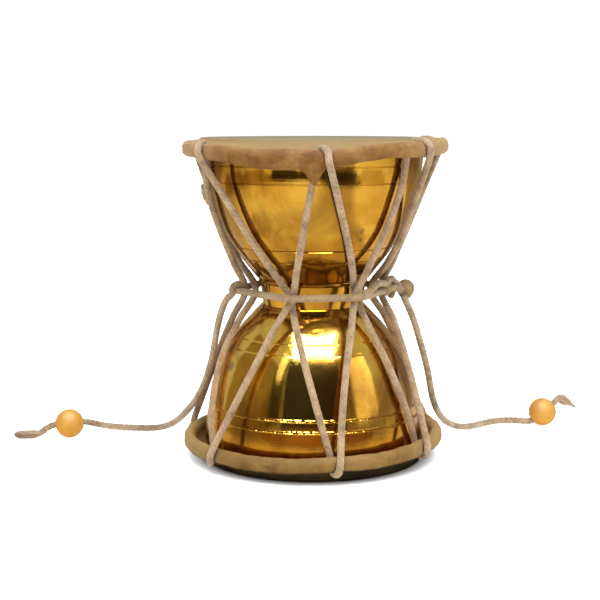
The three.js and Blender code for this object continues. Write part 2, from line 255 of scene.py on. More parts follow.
def dress(piece: Piece, material: Material, slot: str, *nodes: str) -> Piece:
    """Give a piece its finish and its place in the frame.

    Args:
        piece: The piece.
        material: Its finish.
        slot: The record's material slot; not used.
        nodes: The CAD nodes that it stands for.

    Returns:
        The piece.
    """
    piece.data.materials.clear()
    piece.data.materials.append(material)
    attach(piece, ROOT)
    if nodes:
        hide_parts(*nodes)
    LOG.info("%s: %d faces", piece.name, len(piece.data.polygons))
    return piece


# ---------- Twisted cord ----------


@dataclass(frozen=True)
class Cord:
    """Twisted cotton cord, laid as a tube whose section has a lobe for each strand and winds along it.

    The crown and the groove are shares of half the diameter: how far a strand's ridge stands out, and how
    deep the groove beside it is. A rounded end keeps at least the blunt share of the section's area.
    """

    diameter: float = 2.7
    strands: int = 3
    pitch: float = 6.8
    groove: float = 0.10
    groove_power: float = 1.5
    crown: float = 1.02
    blunt: float = 0.04
    sides: int = 18
    spacing: float = 0.55

    @staticmethod
    def _frames(line: Line, closed: bool) -> list[tuple[Vector, Vector, Vector]]:
        """Return how the cord's section stands along a line.

        Args:
            line: The cord's centre line.
            closed: Whether it returns to its first point.

        Returns:
            A (point, side, other side) for each point, with no twist between neighbours.
        """
        count = len(line)
        tangents = []
        for i in range(count):
            before = line[i - 1] if closed or i > 0 else line[i]
            after = line[(i + 1) % count] if closed or i < count - 1 else line[i]
            tangents.append((after - before).normalized())
        side = tangents[0].orthogonal().normalized()
        frames = []
        for i in range(count):
            if i:
                side = tangents[i - 1].rotation_difference(tangents[i]) @ side
            side = (side - tangents[i] * side.dot(tangents[i])).normalized()
            frames.append((line[i], side.copy(), tangents[i].cross(side)))
        return frames

    def _winding(self, frames: Sequence[tuple], closed: bool) -> tuple[float, float]:
        """Return how far the strands turn along the cord.

        Args:
            frames: The cord's (point, side, other side).
            closed: Whether it joins itself end to end, where each strand has to meet a strand.

        Returns:
            The strands' whole turn, and the turn that the frames themselves lack where the cord closes.
        """
        winding = 2 * math.pi * (self.spacing * len(frames)) / self.pitch
        if not closed:
            return winding, 0.0
        (start, side, other), (end, last, _) = frames[0], frames[-1]
        along = (start - end).normalized()
        carried = last - along * last.dot(along)
        slack = math.atan2(carried.dot(other), carried.dot(side))
        lobe = 2 * math.pi / self.strands
        return round((winding - slack) / lobe) * lobe + slack, slack

    def _ring(self, shape: bmesh.types.BMesh, frame: tuple, size: float, twist: float) -> list:
        """Add the vertices of one section.

        Args:
            shape: The mesh.
            frame: Where the section stands, as (point, side, other side).
            size: Half the cord's thickness there.
            twist: How far the strands have turned there.

        Returns:
            The vertices, in order round the cord.
        """
        centre, side, other = frame
        ring = []
        for k in range(self.sides):
            angle = 2 * math.pi * k / self.sides
            valley = 1 - abs(math.cos(0.5 * self.strands * (angle - twist)))
            radius = size * (self.crown - self.groove * valley**self.groove_power)
            place = centre + radius * (math.cos(angle) * side + math.sin(angle) * other)
            ring.append(shape.verts.new(place * MM))
        return ring

    def lay(self, name: str, points: Line, closed: bool = False, divisions: int = 12, taper: float = 0.0,
            scale: float = 1.0) -> tuple[Piece, list[Vector]]:
        """Lay a cord along points.

        Args:
            name: The piece's name.
            points: The points that its centre line passes through, in millimetres.
            closed: Whether it joins itself end to end.
            divisions: The number of steps of the smooth line between two points.
            taper: The length over which an open cord narrows to a rounded end.
            scale: The cord's thickness beside its usual one.

        Returns:
            The mesh, and its centre line in millimetres.
        """
        line = evenly(catmull(points, divisions, closed), self.spacing, closed)
        frames = self._frames(line, closed)
        winding, slack = self._winding(frames, closed)
        count, sides = len(line), self.sides
        spans = count if closed else count - 1
        shape = bmesh.new()
        uv = shape.loops.layers.uv.new("along")
        rings = []
        for i, frame in enumerate(frames):
            twist = -winding * i / spans
            left = min(i, count - 1 - i) * self.spacing
            narrow = math.sqrt(max(self.blunt, 1 - (1 - left / taper) ** 2)) if left < taper else 1.0
            size = 0.5 * self.diameter * scale * narrow
            rings.append((self._ring(shape, frame, size, twist), twist))
        for i in range(spans):
            (ring, twist), (other, ahead) = rings[i], rings[(i + 1) % count]
            shift = 0
            if i == count - 1:
                shift = round(slack / (2 * math.pi / sides))
                ahead = -winding
            for k in range(sides):
                j = (k + 1) % sides
                corners = (ring[k], ring[j], other[(j - shift) % sides], other[(k - shift) % sides])
                face = shape.faces.new(corners)
                places = ((k, i, twist), (k + 1, i, twist), (k + 1, i + 1, ahead), (k, i + 1, ahead))
                for loop, (around, along, turned) in zip(face.loops, places):
                    across = around / sides - turned / (2 * math.pi)
                    loop[uv].uv = (across, along * self.spacing / self.pitch)
        if not closed:
            shape.faces.new(reversed(rings[0][0]))
            shape.faces.new(rings[-1][0])
        bmesh.ops.recalc_face_normals(shape, faces=shape.faces)
        mesh = bpy.data.meshes.new(name)
        shape.to_mesh(mesh)
        shape.free()
        piece = bpy.data.objects.new(name, mesh)
        bpy.context.collection.objects.link(piece)
        shade_smooth(piece)
        return piece, line


# ---------- Finishes ----------


class Space(Enum):
    """What a pattern's coordinates follow."""

    OBJECT = "Object"
    SURFACE = "UV"


@dataclass(frozen=True)
class Grain:
    """A noise pattern: scale, detail, roughness and distortion, in coordinates stretched along the axes."""

    scale: float
    detail: float = 4
    rough: float = 0.55
    distort: float = 0.0
    stretch: tuple = (1, 1, 1)
    space: Space = Space.OBJECT


class Finish:
    """A procedural material under construction."""

    def __init__(self, name: str) -> None:
        """Start a material with a Principled shader.

        Args:
            name: The material's name.
        """
        self.material = bpy.data.materials.new(name)
        self.material.use_nodes = True
        self.tree = self.material.node_tree
        self.shader = self.tree.nodes["Principled BSDF"]
        self._coordinates = self.tree.nodes.new("ShaderNodeTexCoord")

    def node(self, kind: str, inputs: dict | None = None, **settings: object) -> bpy.types.Node:
        """Add a node.

        Args:
            kind: The node's type, without "ShaderNode".
            inputs: Values or other nodes' outputs, by input name or number.
            settings: The node's own properties.

        Returns:
            The node.
        """
        made = self.tree.nodes.new(f"ShaderNode{kind}")
        for key, value in settings.items():
            setattr(made, key, value)
        for key, value in (inputs or {}).items():
            self.feed(made.inputs[key], value)
        return made

    def feed(self, socket: Socket, value: object) -> None:
        """Link an output to a socket, or set the socket's own value.

        Args:
            socket: The socket.
            value: A node's output, or a plain value.
        """
        if isinstance(value, Socket):
            self.tree.links.new(value, socket)
        else:
            socket.default_value = value

    def surface(self, inputs: dict[str, object]) -> None:
        """Set or link the shader's own inputs, by name."""
        for name, value in inputs.items():
            self.feed(self.shader.inputs[name], value)

    def place(self, space: Space = Space.OBJECT, stretch: tuple = (1, 1, 1)) -> Socket:
        """Return coordinates in a space, stretched along the axes."""
        inputs = {"Vector": self._coordinates.outputs[space.value], "Scale": stretch}
        return self.node("Mapping", inputs).outputs[0]

    def part(self, axis: str, space: Space = Space.OBJECT) -> Socket:
        """Return one of the coordinates in a space."""
        return self.node("SeparateXYZ", {"Vector": self.place(space)}).outputs[axis]

    def speckle(self, grain: Grain) -> Socket:
        """Add a noise pattern.

        Args:
            grain: The pattern.

        Returns:
            Its value, between 0 and 1.
        """
        inputs = {
            "Vector": self.place(grain.space, grain.stretch), "Scale": grain.scale, "Detail": grain.detail,
            "Roughness": grain.rough, "Distortion": grain.distort}
        return self.node("TexNoise", inputs).outputs["Fac"]

    def colours(self, value: Socket, stops: Sequence[tuple[float, Colour]]) -> Socket:
        """Map a value to colours.

        Args:
            value: The value.
            stops: A (value, colour) for each step.

        Returns:
            The colour.
        """
        made = self.node("ValToRGB", {"Fac": value})
        elements = made.color_ramp.elements
        while len(elements) < len(stops):
            elements.new(0.5)
        for element, (at, colour) in zip(elements, stops):
            element.position = at
            element.color = (*colour, 1)
        return made.outputs["Color"]

    def ramp(self, value: Socket, *stops: tuple[float, float]) -> Socket:
        """Return a value mapped through stops of (value, level)."""
        return self.colours(value, [(at, (level,) * 3) for at, level in stops])

    def rise(self, value: Socket, low: float, high: float, top: float = 1.0) -> Socket:
        """Return 0 where a value is below `low`, `top` above `high`, and a slope between them."""
        return self.ramp(value, (low, 0.0), (high, top))

    def over(self, base: object, *layers: tuple[Socket, Colour]) -> Socket:
        """Lay colours over another one.

        Args:
            base: The colour underneath.
            layers: A (share, colour) for each layer, from the lowest up.

        Returns:
            The colour on top.
        """
        for share, colour in layers:
            made = self.node("Mix", data_type="RGBA")
            factor = next(s for s in made.inputs if s.name == "Factor" and s.type == "VALUE")
            first, second = (s for s in made.inputs if s.type == "RGBA")
            base = (*base, 1) if isinstance(base, tuple) else base
            for socket, value in ((factor, share), (first, base), (second, (*colour, 1))):
                self.feed(socket, value)
            base = next(s for s in made.outputs if s.type == "RGBA")
        return base

    def maths(self, operation: str, *values: object) -> Socket:
        """Work out a sum.

        Args:
            operation: The kind of sum.
            values: The numbers or outputs that it takes.

        Returns:
            Its result.
        """
        made = self.node("Math", operation=operation)
        for socket, value in zip(made.inputs, values):
            self.feed(socket, value)
        return made.outputs[0]

    def times(self, value: Socket, factor: object) -> Socket:
        """Return a value times a number or another value."""
        return self.maths("MULTIPLY", value, factor)

    def relief(self, *layers: tuple[Socket, float, float]) -> None:
        """Give the shader bump.

        Args:
            layers: A (height, strength, distance in metres) for each layer.
        """
        normal = None
        for height, strength, distance in layers:
            inputs = {"Height": height, "Strength": strength, "Distance": distance}
            if normal is not None:
                inputs["Normal"] = normal
            normal = self.node("Bump", inputs).outputs["Normal"]
        self.surface({"Normal": normal})


@dataclass(frozen=True)
class PolishedBrass:
    """Spun brass, polished and then handled, with brown tarnish in soft patches and fine turning lines.

    The foot and the waist are browner by height over the drum's height, in the warm colour: painted
    reflection of the hoops, the ground and the other bowl. Each stain is a place and a radius. The knurled
    heights are those of two turned grooves whose edges are notched all round.
    """

    clean: Colour = (0.67, 0.42, 0.065)
    # Warm tone of the random patches, and also of the painted reflection at the foot and the waist.
    warm_tone_and_reflection: Colour = (0.40, 0.185, 0.018)
    tarnish: Colour = (0.14, 0.06, 0.014)
    stain: Colour = (0.09, 0.075, 0.05)
    drum_height: float = 127.5
    # Painted reflection: shares of the warm colour by height, browner at the foot and the waist where the
    # bowls mirror the hoops, the ground and each other.
    reflection_heights: tuple = ((0.08, 1.0), (0.19, 0.25), (0.36, 0.0), (0.48, 0.2), (0.60, 0.2), (0.72, 0.0))
    clouds: Grain = Grain(36, 5, 0.55, 1.3, (1, 1, 0.45))
    warmth: Grain = Grain(26, 4, 0.55, 0.8)
    wear: Grain = Grain(420, 3, 0.6)
    spots: Grain = Grain(190, 2, 0.5)
    turning: Grain = Grain(2600, 2, 0.6, stretch=(0.02, 0.02, 1))
    strokes: Grain = Grain(520, 3, 0.6, stretch=(1, 1, 0.06))
    notches: Grain = Grain(1300, 1, 0.5, stretch=(1, 1, 0.02))
    roughness: float = 0.068
    dulling: float = 0.05
    knurled: tuple = (22.4, 18.2)
    stains: tuple = (
        (-22.5, -11.0, 60.5, 2.4), (-33.5, -18.0, 39.5, 3.4),
        (18.0, -31.5, 93.0, 1.5), (17.6, -30.0, 89.5, 1.1))

    def _mark(self, finish: Finish, wear: Socket, centre: Sequence[float], size: float) -> Socket:
        """Return where a stain lies.

        Args:
            finish: The material.
            wear: The pattern that makes its edge ragged.
            centre: Its middle, in millimetres.
            size: Its radius, in millimetres.

        Returns:
            The stain's share, which falls to 0 at its edge.
        """
        inputs = {0: finish.place(), 1: tuple(Vector(centre) * MM)}
        away = finish.node("VectorMath", inputs, operation="DISTANCE").outputs["Value"]
        away = finish.maths("SUBTRACT", away, 0.25 * size * MM)
        ragged = finish.maths("MULTIPLY_ADD", wear, 0.5 * size * MM, away)
        return finish.ramp(finish.maths("DIVIDE", ragged, size * MM), (0.55, 0.6), (1.0, 0.0))

    def make(self) -> Material:
        """Return the material.

        Returns:
            The material, whose patterns follow the shell's own coordinates.
        """
        finish = Finish("polished_brass")
        level = finish.part("Z")
        # Painted reflection: browner at the foot and the waist.
        reflected_brown = finish.ramp(finish.maths("DIVIDE", level, self.drum_height * MM), *self.reflection_heights)
        clouds, wear = finish.speckle(self.clouds), finish.speckle(self.wear)
        patches = finish.rise(clouds, 0.44, 0.60)
        warmer = finish.rise(finish.speckle(self.warmth), 0.43, 0.57)
        spots = finish.rise(finish.speckle(self.spots), 0.68, 0.76)
        base = finish.over(
            self.clean, (finish.times(warmer, 0.75), self.warm_tone_and_reflection), (finish.times(reflected_brown, 0.85), self.warm_tone_and_reflection),
            (finish.times(patches, 0.6), self.tarnish), (finish.times(spots, 0.35), self.tarnish),
            *((self._mark(finish, wear, centre, size), self.stain) for *centre, size in self.stains))
        dull = finish.maths("MULTIPLY_ADD", patches, self.dulling, self.roughness)
        dull = finish.maths("MULTIPLY_ADD", wear, self.dulling, dull)
        finish.surface({"Base Color": base, "Metallic": 1.0, "Roughness": dull})
        lines, strokes, notches = map(finish.speckle, (self.turning, self.strokes, self.notches))
        layers = [
            (lines, 0.05, 0.0002), (strokes, 0.09, 0.0003), (clouds, 0.06, 0.0010), (wear, 0.02, 0.0002)]
        for height in self.knurled:
            away = finish.maths("ABSOLUTE", finish.maths("SUBTRACT", level, height * MM))
            edge = finish.ramp(finish.maths("DIVIDE", away, MM), (0.35, 1.0), (0.65, 0.0))
            layers.append((finish.times(edge, notches), 0.5, 0.0005))
        finish.relief(*layers)
        return finish.material


@dataclass(frozen=True)
class Rawhide:
    """Goat rawhide: mottled, with pores, fine creases and a patchy rim.

    The slope is the colour of the rim outside the mouth, and the sides that of the hoop's left and right. On
    the lower head the slope, which there also covers the hoop's underside, and the face are near black:
    painted shade of the gap under the hoop, where the drum stands on the floor.
    """

    name: str
    light: Colour
    middle: Colour
    dark: Colour
    slope: Colour
    face: Colour
    sides: Colour
    mottle: Grain = Grain(55, 6, 0.62, 0.4)
    creases: Grain = Grain(150, 5, 0.65, 1.6, (1, 1, 2.6))
    pitting: Grain = Grain(700, 4, 0.65)
    # Patches of the rim's colour: smudges on the upper head, painted shade on the lower.
    smudge_and_shade_patches: Grain = Grain(30, 4, 0.6)
    pores: float = 900

    def make(self) -> Material:
        """Return the material.

        Returns:
            The material. It reads the `face` attribute: 1 on the flat face and 0.5 on the sloping rim.
        """
        finish = Finish(self.name)
        mottle, creases, pitting, smudge_and_shade_patches = map(
            finish.speckle, (self.mottle, self.creases, self.pitting, self.smudge_and_shade_patches))
        cells = {"Vector": finish.place(), "Scale": self.pores}
        pores = finish.node("TexVoronoi", cells).outputs["Distance"]
        face = finish.node("Attribute", attribute_name="face").outputs["Fac"]
        pits = finish.times(finish.rise(pitting, 0.45, 0.8), 0.4)
        aside = finish.rise(finish.maths("ABSOLUTE", finish.part("X")), 0.032, 0.05, 0.75)
        # The rim's colour, in patches: on the lower head this is painted shade.
        rim = finish.times(finish.rise(face, 0.0, 0.5), finish.ramp(smudge_and_shade_patches, (0.35, 0.75), (0.65, 1.0)))
        body = finish.over(
            finish.colours(mottle, [(0.34, self.dark), (0.48, self.middle), (0.62, self.light)]),
            (pits, self.dark), (aside, self.sides), (rim, self.slope),
            (finish.rise(face, 0.55, 0.9), self.face))
        finish.surface({
            "Base Color": body, "Roughness": finish.ramp(mottle, (0.3, 0.85), (0.7, 0.6)),
            "Specular IOR Level": finish.ramp(face, (0.0, 0.1), (0.6, 0.0))})
        finish.relief(
            (mottle, 0.4, 0.0014), (creases, 0.55, 0.0009), (pitting, 0.25, 0.0003), (pores, 0.12, 0.0002))
        return finish.material


@dataclass(frozen=True)
class CottonCord:
    """Twisted cotton: fibres run along each strand, with painted shade in the grooves between strands and
    pale fluff.
    """

    name: str
    light: Colour
    middle: Colour
    dark: Colour
    strands: int = 3
    fibres: Grain = Grain(1.0, 5, 0.7, 0.3, (30, 7, 1), Space.SURFACE)
    blotches: Grain = Grain(160, 4, 0.6)
    grime: Grain = Grain(620, 3, 0.6)

    def make(self) -> Material:
        """Return the material.

        Returns:
            The material. The first axis of the `along` map goes round the cord and its second along it.
        """
        finish = Finish(self.name)
        fibres, blotches, grime = map(finish.speckle, (self.fibres, self.blotches, self.grime))
        around = finish.times(finish.part("X", Space.SURFACE), self.strands * math.pi)
        lobe = finish.maths("ABSOLUTE", finish.maths("COSINE", around))
        body = finish.over(
            finish.colours(blotches, [(0.32, self.dark), (0.5, self.middle), (0.7, self.light)]),
            (finish.rise(fibres, 0.35, 0.75, 0.55), self.light),
            # Painted shade in the grooves between the strands.
            (finish.ramp(lobe, (0.0, 0.5), (0.4, 0.0)), self.dark),
            (finish.rise(grime, 0.58, 0.72, 0.6), self.dark))
        finish.surface({
            "Base Color": body, "Roughness": 0.95, "Specular IOR Level": 0.15, "Sheen Weight": 0.25,
            "Sheen Roughness": 0.5})
        finish.relief((fibres, 0.6, 0.0003), (grime, 0.3, 0.0002))
        return finish.material


@dataclass(frozen=True)
class PaintedWood:
    """A turned wooden bead under satin orange-yellow paint that shows faint grain and small scuffs."""

    light: Colour = (0.45, 0.23, 0.026)
    dark: Colour = (0.37, 0.155, 0.012)
    veins: Grain = Grain(90, 5, 0.6, 0.8, (1, 5, 5))
    blotches: Grain = Grain(140, 3, 0.5)

    def make(self) -> Material:
        """Return the material.

        Returns:
            The material, with its grain along X.
        """
        finish = Finish("painted_wood")
        veins, blotches = map(finish.speckle, (self.veins, self.blotches))
        paint = finish.colours(blotches, [(0.3, self.dark), (0.6, self.light)])
        finish.surface({
            "Base Color": finish.over(paint, (finish.rise(veins, 0.5, 0.75, 0.4), self.dark)),
            "Roughness": finish.ramp(blotches, (0.3, 0.68), (0.7, 0.55)), "Specular IOR Level": 0.25})
        finish.relief((veins, 0.12, 0.0003), (blotches, 0.1, 0.0005))
        return finish.material


# ---------- Studio ----------


@dataclass(frozen=True)
class Lamp:
    """A soft rectangular lamp that faces the drum."""

    name: str
    at: tuple
    size: tuple
    power: float


@dataclass(frozen=True)
class Card:
    """A flat stage piece, tilted about X and then turned about Z, which may glow white."""

    name: str
    centre: tuple
    size: tuple
    colour: Colour = BLACK
    tilt: float = 0.0
    swing: float = 0.0
    glow: float = 0.0


@dataclass(frozen=True)
class Studio:
    """Camera, soft light, floor, white surround, and cards that stand for the room that brass mirrors.

    The floor glows outside its shade, a pair of radii round the drum. The low cards lie on it like the
    leaves of a fan, each with its outer end at the low reach.
    """

    camera_at: tuple = (-5.2, -509.0, 134.2)
    pitch: float = 8.0
    lens: float = 76.86
    sensor: float = 36
    clip: tuple = (0.01, 20)
    lamps_aim: tuple = (0, 0, 60)
    sky: float = 0.72
    surround: float = 1.05
    surround_radius: float = 4200
    floor: Card = Card("floor", (0, 0, -0.15), (9000, 9000), (0.88, 0.88, 0.87))
    floor_glow: float = 0.75
    floor_shade: tuple = (44, 53)
    dark: Colour = (0.02, 0.014, 0.010)
    brown: Colour = (0.30, 0.19, 0.08)
    gold: Colour = (0.52, 0.42, 0.27)
    wall: Colour = (0.36, 0.27, 0.16)
    low_reach: float = 520
    low_width: float = 209
    low_height: float = 1.5

    def make_camera(self) -> None:
        """Add the camera and make it the scene's own."""
        data = bpy.data.cameras.new("camera")
        data.lens, data.sensor_width = self.lens, self.sensor
        data.clip_start, data.clip_end = self.clip
        camera = bpy.data.objects.new("camera", data)
        camera.location = Vector(self.camera_at) * MM
        camera.rotation_euler = (math.radians(90 - self.pitch), 0, 0)
        bpy.context.collection.objects.link(camera)
        bpy.context.scene.camera = camera

    def _lamps(self) -> None:
        """Add the lamps."""
        for lamp in (
                Lamp("top_lamp", (15, -390, 760), (640, 430), 8.4),
                Lamp("left_lamp", (-600, -640, 640), (140, 420), 0.35),
                Lamp("right_lamp", (800, -420, 420), (460, 520), 1.3)):
            data = bpy.data.lights.new(lamp.name, "AREA")
            data.shape, data.size, data.size_y = "RECTANGLE", lamp.size[0] * MM, lamp.size[1] * MM
            data.energy = lamp.power
            made = bpy.data.objects.new(lamp.name, data)
            made.location = Vector(lamp.at) * MM
            way = Vector(self.lamps_aim) - Vector(lamp.at)
            made.rotation_euler = way.to_track_quat("-Z", "Y").to_euler()
            bpy.context.collection.objects.link(made)

    @staticmethod
    def _hide(piece: Piece, *rays: str) -> None:
        """Hide a stage piece from some kinds of rays."""
        for ray in rays:
            setattr(piece, f"visible_{ray}", False)

    @staticmethod
    def _lay(card: Card) -> tuple[Piece, Finish]:
        """Add a flat stage piece.

        Args:
            card: Its place, size and look.

        Returns:
            The piece, and its finish.
        """
        deselect()
        bpy.ops.mesh.primitive_plane_add(size=1, location=Vector(card.centre) * MM)
        flat = bpy.context.object
        flat.name = card.name
        flat.scale = (card.size[0] * MM, card.size[1] * MM, 1)
        flat.rotation_euler = (math.radians(card.tilt), 0, math.radians(card.swing))
        bpy.ops.object.transform_apply(location=True, rotation=True, scale=True)
        finish = Finish(card.name)
        finish.surface({
            "Base Color": (*card.colour, 1), "Roughness": 0.9, "Specular IOR Level": 0.0,
            "Emission Color": WHITE, "Emission Strength": card.glow})
        flat.data.materials.append(finish.material)
        return flat, finish

    def _floor(self) -> None:
        """Add the pale floor, which glows softly away from the drum, as paper does under wide light."""
        _, finish = self._lay(self.floor)
        away = finish.node("VectorMath", {0: finish.place()}, operation="LENGTH").outputs["Value"]
        near, far = self.floor_shade
        limits = {"Value": away, "From Min": near * MM, "From Max": far * MM, "To Max": self.floor_glow}
        finish.surface({"Emission Strength": finish.node("MapRange", limits).outputs["Result"]})

    def _surround(self) -> None:
        """Add the white surround, a dome that only the camera sees."""
        deselect()
        bpy.ops.mesh.primitive_uv_sphere_add(segments=64, ring_count=32, radius=self.surround_radius * MM)
        dome = bpy.context.object
        dome.name = "surround"
        bpy.ops.object.mode_set(mode="EDIT")
        bpy.ops.mesh.flip_normals()
        bpy.ops.object.mode_set(mode="OBJECT")
        shade_smooth(dome)
        finish = Finish("surround")
        finish.surface({
            "Base Color": (*BLACK, 1), "Specular IOR Level": 0.0, "Emission Color": WHITE,
            "Emission Strength": self.surround})
        dome.data.materials.append(finish.material)
        self._hide(dome, "diffuse", "glossy", "shadow", "transmission")

    def _cards(self) -> list[Card]:
        """Return the cards.

        Returns:
            Those in front, those on the floor, and the walls behind and at the left.
        """
        cards = [
            Card("front_card", (10, -760, 585), (1080, 900), (0.032, 0.032, 0.045), 90),
            Card("window", (15, -300, 790), (680, 640), tilt=22, glow=40.0),
            Card("left_shade", (-710, -735, 470), (370, 600), (0.06, 0.05, 0.035), 90),
            Card("right_shade", (650, -735, 430), (210, 460), (0.22, 0.19, 0.13), 90),
            Card("left_edge", (-518, -730, 420), (12, 560), tilt=90, glow=0.9),
            Card("right_edge", (538, -730, 420), (12, 560), tilt=90, glow=1.1),
            Card("horizon_card", (0, -740, 65), (3200, 130), (0.34, 0.18, 0.08), 90),
            Card("left_apron", (-820, -150, 0.05), (1840, 700), (0.66, 0.56, 0.39)),
            Card("right_apron", (1000, -150, 0.05), (1800, 700), (0.80, 0.72, 0.56)),
            Card("left_wall", (-1100, -300, 500), (1500, 1000), (0.30, 0.23, 0.13), 90, 90),
            Card("back_wall", (0, 1200, 600), (3000, 1200), self.wall, -90),
            Card("back_apron", (0, 1100, 0.05), (4000, 1800), self.wall)]
        leaves = (
            (-91, 230, self.brown), (-62, 230, self.brown), (-29, 230, self.dark), (0, 230, self.dark),
            (29, 265, self.dark), (62, 230, self.gold))
        for swing, depth, colour in leaves:
            name, size = f"low_card_{swing - leaves[0][0]}", (self.low_width, depth)
            centre = tuple(polar(self.low_reach - depth / 2, swing, self.low_height))
            cards.append(Card(name, centre, size, colour, swing=swing))
        return cards

    def build(self) -> None:
        """Add the light and the stage."""
        scene = bpy.context.scene
        scene.view_settings.view_transform = "Standard"
        scene.world = bpy.data.worlds.new("studio")
        scene.world.use_nodes = True
        sky = scene.world.node_tree.nodes["Background"]
        sky.inputs["Color"].default_value = WHITE
        sky.inputs["Strength"].default_value = self.sky
        self._lamps()
        self._floor()
        self._surround()
        for entry in self._cards():
            card, _ = self._lay(entry)
            self._hide(card, "camera", "diffuse", "shadow", "transmission")


# ---------- Shell ----------


@dataclass
class Shell:
    """The hourglass body: two spun bowls and the stepped collar between them, one brass wall thick."""

    height: float = 127.5
    wall: float = 1.5
    mouth_radius: float = 43.8
    setback: float = 0.9
    steps: int = 128
    divisions: int = 10
    crease: float = 38
    lower_bowl: tuple = (
        (43.8, 0.9), (43.3, 13), (40.7, 26), (36, 40.5), (30.4, 50.5), (24.2, 57.6), (20.9, 61.2))
    collar: tuple = (
        (19.4, 61.7), (19.45, 62.1), (20.0, 62.35), (20.15, 65.5), (20.0, 68.75), (19.4, 69.1),
        (19.35, 69.85), (21.0, 70.15), (21.6, 70.6), (21.75, 71.2), (21.5, 71.9), (21.2, 72.2))
    upper_bowl: tuple = (
        (22.5, 72.4), (24.7, 75.3), (29.9, 82), (35.6, 91.5), (40, 103), (42.7, 114), (43.8, 126.6))
    turned_lines: tuple = (18.2, 22.4, 45.5, 49.6, 80.3, 85.1, 110.6, 117.0)
    line_depth: float = 0.22
    line_half_width: float = 0.3
    line_corners: tuple = (0.35, 1, 1.4)
    line_slope: float = 1.6

    def __post_init__(self) -> None:
        """Work out the smooth outlines of the two bowls."""
        self._low, self._high = (
            catmull([Vector((*corner, 0)) for corner in bowl], self.divisions)
            for bowl in (self.lower_bowl, self.upper_bowl))

    @staticmethod
    def _radius_on(outline: Line, z: float) -> float:
        """Return the radius of an outline at a height.

        Args:
            outline: Its points, as (radius, height).
            z: The height.

        Returns:
            The radius there, or that of the nearer end.
        """
        for low, high in zip(outline, outline[1:]):
            if low.y <= z <= high.y:
                return lerp(low.x, high.x, (z - low.y) / max(high.y - low.y, TINY))
        return outline[0].x if z < outline[0].y else outline[-1].x

    def radius(self, z: float) -> float:
        """Return the outer radius at a height, straight across the collar."""
        return self.mouth_radius if z <= self._low[0].y else self._radius_on(self._low + self._high, z)

    def _outside(self, outline: Line) -> list[tuple[float, float]]:
        """Return a bowl's outside with its turned lines cut in.

        Args:
            outline: The bowl's smooth outline.

        Returns:
            The (radius, height) of each corner, from below.
        """
        low, high = outline[0].y, outline[-1].y
        half = self.line_half_width
        heights = {point.y for point in outline}
        for line in (z for z in self.turned_lines if low < z < high):
            heights = {z for z in heights if abs(z - line) > 1.5 * half}
            heights |= {line + side * k * half for k in self.line_corners for side in (-1, 1)}
        section = []
        for z in sorted(heights):
            cut = max(0.0, *(1 - abs(z - line) / half for line in self.turned_lines))
            depth = self.line_depth * min(1.0, self.line_slope * cut)
            section.append((self._radius_on(outline, z) - depth, z))
        return section

    def _inside(self, outline: Line) -> list[tuple[float, float]]:
        """Return a bowl's inside, a wall's thickness in.

        Args:
            outline: The bowl's smooth outline.

        Returns:
            The (radius, height) of each corner, from below.
        """
        section = []
        for i in range(0, len(outline), self.divisions // 2):
            before, after = outline[max(i - 1, 0)], outline[min(i + 1, len(outline) - 1)]
            along = (after - before).normalized()
            section.append((outline[i].x - self.wall * along.y, outline[i].y + self.wall * along.x))
        return section

    def build(self, brass: Material) -> None:
        """Spin the shell and polish it.

        Args:
            brass: The shell's finish.
        """
        inside = [*self._inside(self._low), *self._inside(self._high)]
        inside[0] = (inside[0][0], self.setback)
        inside[-1] = (inside[-1][0], self.height - self.setback)
        profile = [*self._outside(self._low), *self.collar, *self._outside(self._high), *reversed(inside)]
        piece = spin_profile("brass_shell", profile, self.steps)
        shade_smooth(piece, self.crease)
        dress(piece, brass, "shell_brass", "shell")


# ---------- Lacing ----------


@dataclass(frozen=True)
class Hole:
    """A lacing hole: its legs' azimuths, whether the left one rises inside the hoop, and their slides."""

    left: float
    right: float
    inside_left: bool = True
    left_slide: float = 1.0
    right_slide: float = 1.0

    @property
    def outside(self) -> float:
        """Return the azimuth of the leg that lies over the hoop."""
        return self.right if self.inside_left else self.left

    @property
    def inside(self) -> float:
        """Return the azimuth of the leg that rises inside the hoop."""
        return self.left if self.inside_left else self.right


